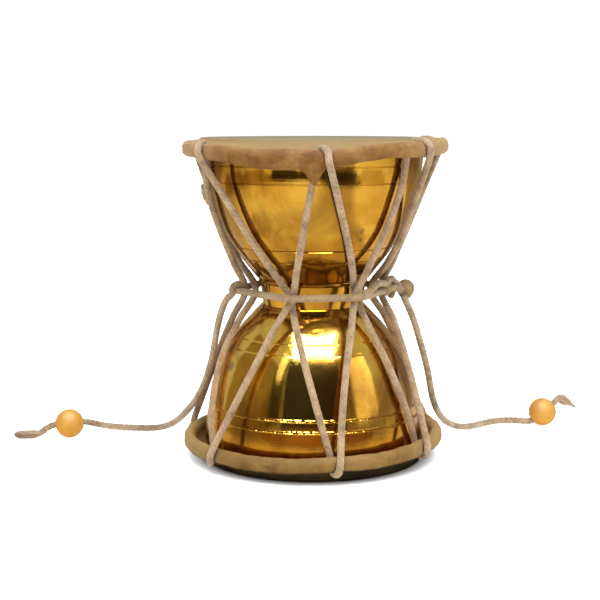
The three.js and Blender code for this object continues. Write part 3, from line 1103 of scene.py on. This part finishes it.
@dataclass
class Hoops:
    """Where the two rolled hoops lie.

    The drop is how far a plain hoop's middle is from its head's face. Each sag is a depth, the azimuth of its
    middle, and its width. The pulls are how far the lacing draws the hoops together at each hole.
    """

    shell: Shell
    radius: float = 49.8
    half_width: float = 2.4
    half_height: float = 3.0
    drop: float = 3.6
    upper_shift: float = 0.7
    upper_lean: float = 0.5
    sags: tuple = ((2.3, 0, 22), (1.2, -28, 12), (1.6, 180, 40))
    lower_middle: float = 7.5
    lower_lift: float = 0.5
    upper_pull: float = 0.8
    lower_pull: float = 0.4
    pull_width: float = 9
    upper_holes: tuple = (
        Hole(1, 5), Hole(50, 54), Hole(107, 116, inside_left=False), Hole(179, 182), Hole(236, 246),
        Hole(294, 304.5, right_slide=0.5))
    lower_holes: tuple = (
        Hole(7.7, 10.5, right_slide=1.5), Hole(60, 55.5, left_slide=-1.0), Hole(120, 117), Hole(181, 183),
        Hole(242, 250), Hole(301, 313, left_slide=0.0))

    def _pull(self, depth: float, holes: Sequence[Hole], azimuth: float) -> float:
        """Return how far the lacing through some holes pulls a hoop in."""
        return sum(depth * bump(azimuth, hole.outside, self.pull_width) for hole in holes)

    def upper_z(self, azimuth: float) -> float:
        """Return the upper hoop's height.

        Args:
            azimuth: Where round the hoop.

        Returns:
            The height of its middle: the lacing pulls it down at each hole, most at the front.
        """
        lean = self.upper_lean * math.sin(math.radians(azimuth))
        sag = sum(depth * bump(azimuth, centre, width) for depth, centre, width in self.sags)
        pull = self._pull(self.upper_pull, self.upper_holes, azimuth)
        return self.shell.height - self.drop + lean - sag - pull

    def lower_z(self, azimuth: float) -> float:
        """Return the lower hoop's height.

        Args:
            azimuth: Where round the hoop.

        Returns:
            The height of its middle, which clears the ground all round and rides higher at the right.
        """
        side = math.sin(math.radians(azimuth))
        pull = self._pull(self.lower_pull, self.lower_holes, azimuth)
        return self.lower_middle + side + self.lower_lift * side**2 + pull


@dataclass
class Lacing:
    """Two closed rounds of cord, each through three upper and three lower holes.

    Each crossing is where the upper and the lower leg between two holes pass the waist. The bites are how
    far a bend sinks into its hoop. The mend is the joining knot on the leg at the left.
    """

    shell: Shell
    hoops: Hoops
    cord: Cord
    crossings: tuple = ((36.5, 44.5), (92, 92), (152, 152), (214, 214), (276.5, 275.5), (342.5, 335.5))
    waist_z: float = 67.2
    over_radius: float = 27.1
    under_radius: float = 23.0
    standoff: float = 2.15
    gap: float = 0.3
    upper_bite: float = 1.0
    lower_bite: float = 0.65
    leg_points: tuple = (0.2, 0.4, 0.6, 0.8)
    mend_hole: int = 4
    mend_z: float = 108
    mend_steps: int = 27
    mend_turn: float = 46
    mend_rise: float = 0.29
    mend_radius: float = 1.9
    mend_swell: float = 0.6

    def _loop(self, hole: Hole, hoop_z: Callable[[float], float], up: int) -> list[Vector]:
        """Return the bend over a hoop.

        Args:
            hole: The hole that it comes through.
            hoop_z: The hoop's height at an azimuth.
            up: 1 at the upper hoop, and -1 at the lower one.

        Returns:
            Its points, from the right leg to the left one.
        """
        hoops = self.hoops
        reach = self.cord.diameter / 2 - (self.upper_bite if up > 0 else self.lower_bite)
        outer = hoops.radius + hoops.half_width + reach
        top = hoops.half_height + reach
        inner = self.shell.mouth_radius + self.cord.diameter / 2 + self.gap
        centre = hoop_z(hole.outside)
        sweep = turn(hole.outside, hole.inside)
        # Each station is a radius, a share of the way from the outside leg to the inside one, and a rise.
        stations = (
            (outer, 0, -2), (outer - 0.6, 0.15, 0.6 * top), (hoops.radius - 0.4, 0.5, top),
            (inner + 1, 0.85, 0.7 * top), (inner, 1, -1.5))
        points = [
            polar(radius, hole.outside + sweep * share, centre + up * rise)
            for radius, share, rise in stations]
        for point in points[:-1]:
            point.x += hoops.upper_shift if up > 0 else 0
        return points if hole.inside_left else points[::-1]

    def _outline(self, start: tuple, end: tuple, steps: int = 24) -> list[tuple[float, float]]:
        """Return the taut way round the outside of the shell.

        Args:
            start: The (height, radius) of one end.
            end: That of the other end.
            steps: The number of heights at which the shell is felt for.

        Returns:
            The (height, radius) of each bend, from below.
        """
        low, high = sorted((start, end))
        outline = [low]
        for i in range(1, steps + 1):
            z = lerp(low[0], high[0], i / steps)
            point = high if i == steps else (z, self.shell.radius(z) + self.standoff)
            while len(outline) > 1:
                a, b = outline[-2:]
                if (b[1] - a[1]) * (point[0] - a[0]) > (point[1] - a[1]) * (b[0] - a[0]):
                    break
                outline.pop()
            outline.append(point)
        return outline

    @staticmethod
    def _radius_on(outline: Profile, z: float) -> float:
        """Return the radius of a taut outline at a height.

        Args:
            outline: The (height, radius) of each bend, from below.
            z: The height.

        Returns:
            The radius there.
        """
        above = max(1, next((i for i, point in enumerate(outline) if point[0] >= z), 1))
        (low, a), (high, b) = outline[above - 1:above + 1]
        return lerp(a, b, (z - low) / (high - low))

    def _leg(self, start: Vector, end: Vector, slide: float, steps: int = 60) -> list[Vector]:
        """Return the points of a taut leg between its two ends.

        Args:
            start: One end of the leg.
            end: The other end.
            slide: How the leg turns about the axis: with 1 faster where its radius is smaller, which is its
                shortest way, with 0 evenly, and with -1 late.
            steps: The number of steps in which the turn is added up.

        Returns:
            Its four inner points.
        """
        outline = self._outline(*((point.z, math.hypot(point.x, point.y)) for point in (start, end)))
        turned = [0.0]
        for i in range(steps):
            z = lerp(start.z, end.z, (i + 0.5) / steps)
            turned.append(turned[-1] + self._radius_on(outline, z) ** -2)
        points = []
        for part in self.leg_points:
            z = lerp(start.z, end.z, part)
            share = lerp(part, turned[round(part * steps)] / turned[-1], slide)
            azimuth = azimuth_of(start) + turn(azimuth_of(start), azimuth_of(end)) * share
            points.append(polar(self._radius_on(outline, z), azimuth, z))
        return points

    def _over(self, i: int) -> Vector:
        """Return where the upper leg of crossing i passes under the waist cord."""
        return polar(self.over_radius, self.crossings[i][0], self.waist_z)

    def _under(self, i: int) -> Vector:
        """Return where the lower leg of crossing i passes under the waist cord."""
        return polar(self.under_radius, self.crossings[i][1], self.waist_z)

    def __post_init__(self) -> None:
        """Lay out the bends over both hoops."""
        self.upper_loops = [self._loop(hole, self.hoops.upper_z, 1) for hole in self.hoops.upper_holes]
        self.lower_loops = [self._loop(hole, self.hoops.lower_z, -1) for hole in self.hoops.lower_holes]

    def _round(self, first: int) -> list[Vector]:
        """Return one closed round through every second hole.

        Args:
            first: The number of the upper hole that it starts from and comes back to.

        Returns:
            Its points.
        """
        uppers, lowers = self.hoops.upper_holes, self.hoops.lower_holes
        count = len(self.crossings)
        points = []
        for i in range(first, first - count, -2):
            top, bottom, ahead = (j % count for j in (i, i - 1, i - 2))
            upper, lower = self.upper_loops[top], self.lower_loops[bottom]
            over, under = self._over(bottom), self._under(ahead)
            points += upper + self._leg(upper[-1], over, uppers[top].left_slide) + [over]
            points += self._leg(over, lower[0], lowers[bottom].right_slide) + lower
            points += self._leg(lower[-1], under, lowers[bottom].left_slide) + [under]
            points += self._leg(under, self.upper_loops[ahead][0], uppers[ahead].right_slide)
        return points

    def _mend(self) -> Piece:
        """Return the joining knot.

        Returns:
            One cord end wound round the leg and tucked in.
        """
        loop, spacing = self.upper_loops[self.mend_hole], 0.5
        leg = [loop[0], *reversed(self._leg(self._under(self.mend_hole), loop[0], 1.0))]
        line = evenly(catmull(leg, 10), spacing)
        start = min(range(len(line)), key=lambda i: abs(line[i].z - self.mend_z))
        along = (line[min(start + 30, len(line) - 1)] - line[start]).normalized()
        side = along.orthogonal().normalized()
        points = []
        for step in range(self.mend_steps):
            centre = line[min(start + round(step * self.mend_rise / spacing), len(line) - 2)]
            swing = Quaternion(along, math.radians(self.mend_turn * step))
            bulge = self.mend_radius + self.mend_swell * math.sin(math.pi * step / (self.mend_steps - 1))
            points.append(centre + swing @ side * bulge)
        return self.cord.lay("mend", points, divisions=6, taper=0.9, scale=0.9)[0]

    def build(self, cotton: Material) -> None:
        """Lay both rounds, each with its ends joined at the back.

        Args:
            cotton: The cord's finish.
        """
        first, _ = self.cord.lay("lacing_cord_a", self._round(2), closed=True)
        dress(first, cotton, "lacing_cotton", "lacing_round_a")
        second, _ = self.cord.lay("lacing_cord_b", self._round(3), closed=True)
        dress(join("lacing_cord_b", [second, self._mend()]), cotton, "lacing_cotton", "lacing_round_b")


# ---------- Heads ----------


class End(Enum):
    """Which end of the drum a head closes."""

    UPPER = "upper"
    LOWER = "lower"


@dataclass
class Head:
    """A flat skin over the mouth, its rim sloping to a hoop that the skin is rolled round.

    The upper roll and the lower roll to shade are between which angles of the hoop's section the roll's
    colour gives way to the sloping rim's, which on the lower head is painted shade. Each fold hangs from the
    front of the upper roll: its depth, how far it is tucked in, the azimuth of its middle, its width, and how
    far below the hoop's middle it is at its full depth.
    """

    hoops: Hoops
    lacing: Lacing
    end: End
    skin: float = 0.6
    gap: float = 0.3
    steps: int = 288
    roll_angles: tuple = (150, 466, 12)
    roundness: float = 0.9
    upper_roll: tuple = (412, 440)
    # Where the lower hoop's underside turns to the rim's painted shade.
    lower_roll_to_shade: tuple = (388, 420)
    lumps: tuple = (0.30, 0.16)
    lump_spread: float = 9
    lump_rise: float = 0.35
    lump_ratio: float = 3.1
    lump_seeds: tuple = (7.0, 23.0)
    pleats: int = 31
    pleat_depth: float = 0.22
    pleat_wander: float = 3
    pleat_spread: float = 14
    folds: tuple = ((6.2, 0.5, -1.0, 2.3, 3.0), (1.9, 0.0, -18, 15, 3.4))
    dent_reach: float = 9
    cord_gap: float = 0.12
    dent: float = 0.35
    dent_spread: float = 1.3
    on_roll: float = 0.99
    on_rim: float = 0.6

    def __post_init__(self) -> None:
        """Work out what differs between the two ends."""
        hoops, lacing = self.hoops, self.lacing
        upper = self.end is End.UPPER
        self._face_z, self._up = (hoops.shell.height, 1) if upper else (0.0, -1)
        self._hoop_z, self._shift = (hoops.upper_z, hoops.upper_shift) if upper else (hoops.lower_z, 0)
        self._loops = lacing.upper_loops if upper else lacing.lower_loops
        self._roll = self.upper_roll if upper else self.lower_roll_to_shade
        self._seed = self.lump_seeds[0 if upper else 1]

    def _section(self) -> list[tuple[float, float, float]]:
        """Return the head's section.

        Returns:
            A (radius, height, level) for each corner, from the inside of the skin to its outer face at
            height 0. The level is 1 on the face and 0.5 on its sloping rim.
        """
        hoops, skin = self.hoops, self.skin
        rim = hoops.shell.mouth_radius + self.gap
        section = [(rim * k / 6, -skin, 0.0) for k in range(6)]
        section += [(rim + 0.1, -skin, 0.0), (rim + 0.8, -skin - 0.5, 0.0)]
        for degrees in range(*self.roll_angles):
            x, z = (
                math.copysign(abs(part) ** self.roundness, part)
                for part in (math.cos(math.radians(degrees)), math.sin(math.radians(degrees))))
            level = 0.5 * smoothstep(degrees, *self._roll)
            section.append((hoops.radius + hoops.half_width * x, -hoops.drop + hoops.half_height * z, level))
        section += [
            (rim + 1.6, -0.62, 0.5), (rim + 0.7, -0.36, 0.6), (rim - 0.1, -0.08, 0.8), (rim - 0.8, 0.0, 1.0)]
        section += [(rim * k / 8, 0.0, 1.0) for k in range(7, -1, -1)]
        return section

    @staticmethod
    def _distance(point: Vector, a: Vector, b: Vector) -> float:
        """Return the distance from a point to the stretch of line between two others."""
        part = min(1.0, max(0.0, (point - a).dot(b - a) / (b - a).length_squared))
        return (point - a - (b - a) * part).length

    def _bite(self, point: Vector) -> float:
        """Return how deep the lacing presses into the hoop.

        Args:
            point: A point on the hoop.

        Returns:
            The depth there, in millimetres.
        """
        nearest = min((
            self._distance(point, a, b) for loop in self._loops for a, b in zip(loop, loop[1:])
            if min((a - point).length, (b - point).length) < self.dent_reach), default=math.inf)
        reach = self.lacing.cord.diameter / 2 + self.cord_gap
        fade = math.exp(-((max(nearest - reach, 0) / self.dent_spread) ** 2))
        return max(0.0, reach - nearest) + self.dent * fade

    def _work(self, shaped: Vector, out: Vector, azimuth: float) -> Vector:
        """Work lumps, pleats and folds into the roll.

        Args:
            shaped: A point of the roll.
            out: The way to it from the middle of the roll.
            azimuth: Where it is round the hoop.

        Returns:
            Where the point really lies.
        """
        below = -self._up * out.z
        outwards = polar(1, azimuth, 0)
        seed = Vector((azimuth / self.lump_spread, self.lump_rise * out.z, self._seed))
        lump = self.lumps[0] * noise.noise(seed) + self.lumps[1] * noise.noise(seed * self.lump_ratio)
        shaped += out.normalized() * lump
        wander = self.pleat_wander * noise.noise(Vector((azimuth / self.pleat_spread, 3, 1)))
        pleat = math.sin(math.radians(azimuth * self.pleats) + wander)
        shaped += outwards * self.pleat_depth * pleat * smoothstep(below, 0, 3)
        if self._up > 0:
            for depth, tuck, centre, width, full in self.folds:
                fold, hang = bump(azimuth, centre, width), smoothstep(below, 1.0, full)
                shaped.z -= depth * fold * hang
                shaped -= outwards * tuck * fold * hang
        return shaped

    def _shape(self, point: Vector) -> Vector:
        """Return where a point of the plain head really lies.

        Args:
            point: A point of the head as it is spun.

        Returns:
            The point moved by the hoop's sag and shift, its lumps, pleats and folds, and the lacing's dents.
        """
        hoops = self.hoops
        azimuth = azimuth_of(point)
        height = self._hoop_z(azimuth)
        middle = self._face_z - self._up * hoops.drop
        radius = math.hypot(point.x, point.y)
        share = smoothstep(radius, hoops.shell.mouth_radius + self.gap, hoops.radius - hoops.half_width)
        shaped = point + Vector((share * self._shift, 0, share * (height - middle)))
        if share < TINY:
            return shaped
        centre = polar(hoops.radius, azimuth, height)
        centre.x += self._shift
        out = shaped - centre
        if share > self.on_roll:
            shaped = self._work(shaped, out, azimuth)
        if share > self.on_rim:
            shaped -= out.normalized() * self._bite(shaped)
        return shaped

    def build(self, rawhide: Material) -> None:
        """Spin the skin and its hoop, then work them into shape.

        Args:
            rawhide: The skin's finish.
        """
        end = self.end.value
        section = [(radius, self._face_z + self._up * z, level) for radius, z, level in self._section()]
        piece = spin_profile(f"{end}_skin_head", [corner[:2] for corner in section], self.steps)
        levels = [(Vector(corner[:2]), corner[2]) for corner in section]
        mesh = piece.data
        face = mesh.attributes.new("face", "FLOAT", "POINT")
        for vertex in mesh.vertices:
            place = Vector((math.hypot(vertex.co.x, vertex.co.y), vertex.co.z)) / MM
            nearest = min(levels, key=lambda entry: (entry[0] - place).length_squared)
            face.data[vertex.index].value = nearest[1]
        sculpt(piece, self._shape)
        shade_smooth(piece)
        dress(piece, rawhide, f"{end}_skin", f"{end}_head")


# ---------- Waist cord ----------


@dataclass
class WaistCord:
    """The cord tied round the lacing, its doubled end and knot at the right, and the hitch at the left.

    The second strand's stations are a radius, an azimuth and a rise over the waist.
    """

    lacing: Lacing
    cord: Cord
    radius: float = 30.1
    strand: tuple = (
        (28.2, 41, 0.6), (29.6, 47, 1.8), (29.4, 54, 3.4), (29.1, 62, 3.9), (29.0, 72, 3.3), (30.4, 84, 2))
    bends: tuple = (
        ("knot_turn", ((29.0, -5.4, 65.2), (28.9, -6.0, 68.4), (29.8, -5.2, 71.2), (31.4, -2.6, 71.6),
                       (32.0, -0.6, 69.6), (31.8, -1.4, 66.4), (30.8, -3.4, 64.2))),
        ("knot_bar", ((28.0, -6.2, 66.4), (29.8, -6.6, 67.6), (32.0, -5.0, 68.2), (34.0, -2.4, 67.6),
                      (35.4, 0.2, 66.4))),
        ("knot_back", ((30.6, -2.0, 70.6), (32.6, 0.6, 70.0), (34.2, 2.2, 68.4), (35.6, 3.2, 66.8))))
    stopper_at: tuple = (37.6, 6.0, 66.6)
    stopper_rim: tuple = (2.5, 0.3, 2.6)
    stopper_core: tuple = (2.9, 1.9, 3.0)
    stopper_drop: float = 0.28
    stopper_steps: int = 12
    hitch_azimuth: float = 280.0
    hitch_angles: tuple = (190, 160, 130, 100, 70, 40, 10, -20)
    hitch_reach: float = 0.95
    hitch_start: float = -0.8
    hitch_advance: float = 0.2
    hitch_end: tuple = (-33.4, -3.2, 64.4)

    def _ring(self) -> list[Vector]:
        """Return the points of the round of cord.

        Returns:
            Three points at each crossing, between which the cord lies straight.
        """
        return [
            polar(self.radius + (0.15 if step == 0 else 0), over + step, self.lacing.waist_z)
            for over, _ in self.lacing.crossings for step in (-5, 0, 5)]

    def _stopper(self) -> list[Piece]:
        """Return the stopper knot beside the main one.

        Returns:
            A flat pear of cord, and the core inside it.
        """
        centre, (wide, deep, high) = Vector(self.stopper_at), self.stopper_rim
        rim = []
        for step in range(self.stopper_steps):
            angle = 2 * math.pi * step / self.stopper_steps
            drop = 1 + self.stopper_drop * max(0.0, -math.sin(angle)) ** 3
            offset = Vector((wide * math.cos(angle), deep * math.sin(angle), high * math.sin(angle) * drop))
            rim.append(centre + offset)
        deselect()
        bpy.ops.mesh.primitive_uv_sphere_add(segments=40, ring_count=24, radius=MM)
        core = bpy.context.object
        core.name = "stopper_core"
        sculpt(core, lambda point: centre + Vector([
            size * part for size, part in zip(self.stopper_core, point)]))
        shade_smooth(core)
        return [self.cord.lay("stopper_rim", rim, closed=True, divisions=8, scale=0.85)[0], core]

    def _hitch(self) -> Piece:
        """Return the turn of the left striker's end round the waist cord.

        Returns:
            The turn, which ends where the striker's cord begins.
        """
        reach = self.cord.diameter * self.hitch_reach
        across, along = (polar(1, self.hitch_azimuth + quarter, 0) for quarter in (0, 90))
        centre = polar(self.radius, self.hitch_azimuth, self.lacing.waist_z)
        points = []
        for step, degrees in enumerate(self.hitch_angles):
            angle = math.radians(degrees)
            offset = reach * (math.cos(angle) * across + math.sin(angle) * UP)
            points.append(centre + offset + along * (self.hitch_advance * step + self.hitch_start))
        points.append(Vector(self.hitch_end))
        return self.cord.lay("hitch", points, divisions=6, taper=0.6)[0]

    def build(self, cotton: Material) -> None:
        """Lay the round, the second strand, the knot and the hitch as one piece.

        Args:
            cotton: The cord's finish.
        """
        lay, z = self.cord.lay, self.lacing.waist_z
        strand = [polar(radius, azimuth, z + rise) for radius, azimuth, rise in self.strand]
        parts = [lay("ring", self._ring(), closed=True, divisions=8)[0], lay("strand", strand, taper=0.7)[0]]
        parts += [
            lay(name, list(map(Vector, points)), divisions=8, taper=0.7)[0] for name, points in self.bends]
        piece = join("waist_binding", [*parts, *self._stopper(), self._hitch()])
        dress(piece, cotton, "waist_cotton", "waist_cord")


# ---------- Strikers ----------


@dataclass
class Striker:
    """A free cord end with a wooden bead near it and a frayed tail beyond the bead.

    The route runs from the waist to the bead, and the bead's axis points back along it. The fray's size is
    its half width, its half height, and the share of them that is left at the tip.
    """

    side: str
    cord: Cord
    route: list
    bead_at: tuple
    bead_axis: tuple
    tail: list
    fray_tip: tuple
    fray_size: tuple
    bead_radius: float = 6.0
    bead_steps: int = 24
    bead_sides: int = 56
    bead_crease: float = 50
    bore_lead: float = 0.4
    bore_gap: float = 0.3
    countersink: float = 0.25
    countersink_depth: float = 0.9
    yarn: Cord = Cord(diameter=0.5, strands=2, pitch=2.2, groove=0.3, sides=6, spacing=0.6)
    yarns: int = 64
    yarn_steps: int = 6
    yarn_lengths: tuple = (0.8, 1.0)
    outer_loss: float = 0.12
    wave: float = 0.3
    wave_turn: float = 3.5
    wave_start: float = 6
    swelling: tuple = (0, 0.3)
    closing: tuple = (0.4, 1)
    neck: float = 0.45
    root_depth: float = 1.2
    ground: float = 0.35

    def _points(self) -> list[Vector]:
        """Return the cord's points.

        Returns:
            The whole cord's, from the waist through the bead to the tail.
        """
        step = Vector(self.bead_axis).normalized() * (self.bead_radius + self.bore_lead)
        bore = [Vector(self.bead_at) + step * side for side in (1, 0, -1)]
        return [*map(Vector, self.route), *bore, *map(Vector, self.tail)]

    def _bead(self) -> Piece:
        """Return the turned bead.

        Returns:
            A slightly flattened ball with a countersunk bore.
        """
        radius, bore = self.bead_radius, self.cord.diameter / 2 + self.bore_gap
        start = math.asin((bore + self.countersink) / radius)
        mouth = radius * math.cos(start) - self.countersink_depth
        profile = [(bore, -mouth)]
        for i in range(self.bead_steps + 1):
            angle = math.pi - start - (math.pi - 2 * start) * i / self.bead_steps
            profile.append((radius * math.sin(angle), radius * math.cos(angle)))
        profile.append((bore, mouth))
        bead = spin_profile(f"{self.side}_bead", profile, self.bead_sides)
        facing = UP.rotation_difference(Vector(self.bead_axis).normalized())
        sculpt(bead, lambda point: facing @ point + Vector(self.bead_at))
        shade_smooth(bead, self.bead_crease)
        return bead

    def _fray(self, start: Vector) -> Piece:
        """Return the frayed end: loose yarns that swell out from the cut cord and close up again at the tip.

        Args:
            start: Where the cord ends.

        Returns:
            The yarns as one mesh.
        """
        chance = random.Random(len(self.side))
        way = Vector(self.fray_tip) - start
        reach, along = way.length, way.normalized()
        flat = along.cross(UP).normalized()
        rise = flat.cross(along).normalized()
        width, height, tip = self.fray_size
        yarns = []
        for k in range(self.yarns):
            turned, out = chance.uniform(0, 2 * math.pi), math.sqrt(chance.random())
            length = reach * chance.uniform(*self.yarn_lengths) * (1 - self.outer_loss * out)
            points = []
            for step in range(self.yarn_steps + 1):
                part = step / self.yarn_steps
                swell = lerp(self.neck, 1, smoothstep(part, *self.swelling))
                swell *= lerp(1, tip, smoothstep(part, *self.closing))
                wave = self.wave * part * math.sin(self.wave_turn * part + self.wave_start * chance.random())
                across = width * out * math.cos(turned) * swell + wave
                point = start + along * (length * part - self.root_depth) + flat * across
                point += rise * height * out * math.sin(turned) * swell
                point.z = max(point.z, self.ground)
                points.append(point)
            yarns.append(self.yarn.lay(f"yarn_{k}", points, divisions=4, taper=0.4)[0])
        return join(f"{self.side}_fray", yarns)

    def build(self, cotton: Material, paint: Material) -> None:
        """Lay the cord, hang the bead on it and fray its end.

        Args:
            cotton: The cord's finish.
            paint: The bead's finish.
        """
        bead = dress(self._bead(), paint, "bead_paint", f"striker_bead_{self.side}")
        cord, line = self.cord.lay(f"{self.side}_striker", self._points(), divisions=8, taper=0.5)
        dress(cord, cotton, "striker_cotton", f"striker_cord_{self.side}")
        fray = dress(self._fray(line[-1]), cotton, "striker_cotton")


def strikers(cord: Cord) -> tuple[Striker, Striker]:
    """Return both strikers, with their routes over the lacing and the ground.

    Args:
        cord: The cord that both are made of.

    Returns:
        The left one and the right one.
    """
    left = Striker(
        "left", cord,
        route=[
            (-33.2, -3.4, 65), (-35.3, -1.6, 61.8), (-37.4, 0.4, 56), (-38.9, 1, 49.5), (-40, 1.4, 43),
            (-41.3, 2.2, 37), (-43.1, 4, 31), (-45.3, 6.6, 25.3), (-48.1, 10, 20), (-51.3, 14.2, 15.3),
            (-55, 19.2, 10.6), (-59.2, 24.8, 6.4), (-64.5, 30, 3.3), (-71, 34.4, 1.7), (-78, 36, 1.5),
            (-85, 34.2, 2.3), (-91.5, 30.4, 4.2)],
        bead_at=(-103.6, 25.4, 6), bead_axis=(0.97, 0.24, 0.05),
        tail=[(-111.6, 23.3, 5.0), (-113.4, 23, 4.1), (-115, 22.8, 2.8), (-116.4, 22.6, 2.0)],
        fray_tip=(-128.8, 22, 1.7), fray_size=(2.1, 1.6, 0.95))
    right = Striker(
        "right", cord,
        route=[
            (36.2, -0.2, 64.6), (38.2, 0.6, 60.2), (40.2, 1.4, 55.6), (41.8, 2.2, 51), (43.3, 3, 46),
            (44.8, 3.9, 41), (46.2, 4.9, 36), (47.4, 6.1, 31), (48.4, 7.6, 26), (49.5, 9.6, 21),
            (51.2, 12.4, 16.2), (53.6, 16.6, 11.6), (57.2, 22.6, 7.2), (62.6, 30, 3.6), (69, 37.4, 1.8),
            (75.6, 44, 1.5), (82.6, 49, 1.5), (90, 50, 1.5)],
        bead_at=(102.4, 47.4, 6), bead_axis=(-0.77, 0, -0.63),
        tail=[(108.2, 47.1, 11.2), (109, 47, 12), (109.8, 46.9, 12.4)],
        fray_tip=(119, 46.2, 6.8), fray_size=(2.0, 2.1, 0.12))
    return left, right


# ---------- Assembly ----------


def main() -> None:
    """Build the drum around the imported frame."""
    logging.basicConfig(level=logging.INFO, format="%(name)s %(message)s")
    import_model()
    studio = Studio()
    studio.make_camera()

    striker_cotton, lacing_cotton, waist_cotton = (
        CottonCord(name, *colours).make() for name, *colours in (
            ("striker_cotton", (0.40, 0.30, 0.19), (0.295, 0.21, 0.127), (0.115, 0.07, 0.034)),
            ("lacing_cotton", (0.37, 0.265, 0.155), (0.275, 0.18, 0.098), (0.13, 0.076, 0.035)),
            ("waist_cotton", (0.315, 0.225, 0.115), (0.245, 0.165, 0.08), (0.13, 0.08, 0.035))))
    upper_hide = Rawhide(
        "upper_rawhide", light=(0.225, 0.115, 0.029), middle=(0.145, 0.062, 0.014),
        dark=(0.075, 0.029, 0.007), slope=(0.245, 0.17, 0.083), face=(0.20, 0.18, 0.13),
        sides=(0.36, 0.25, 0.125))
    # The lower head's slope and face colours are near black: painted shade of the gap under the hoop, where
    # the drum stands on the floor.
    lower_hide = Rawhide(
        "lower_rawhide", light=(0.19, 0.111, 0.030), middle=(0.143, 0.08, 0.019), dark=(0.09, 0.045, 0.011),
        slope=(0.010, 0.009, 0.006), face=(0.010, 0.009, 0.006), sides=(0.30, 0.20, 0.08))
    paint = PaintedWood().make()
    cord = Cord()
    for striker in strikers(cord):
        striker.build(striker_cotton, paint)
    shell = Shell()
    shell.build(PolishedBrass(drum_height=shell.height).make())
    hoops = Hoops(shell)
    lacing = Lacing(shell, hoops, cord)
    lacing.build(lacing_cotton)
    for end, hide in ((End.UPPER, upper_hide), (End.LOWER, lower_hide)):
        Head(hoops, lacing, end).build(hide.make())
    WaistCord(lacing, cord).build(waist_cotton)
    studio.build()


if __name__ == "__main__":
    main()
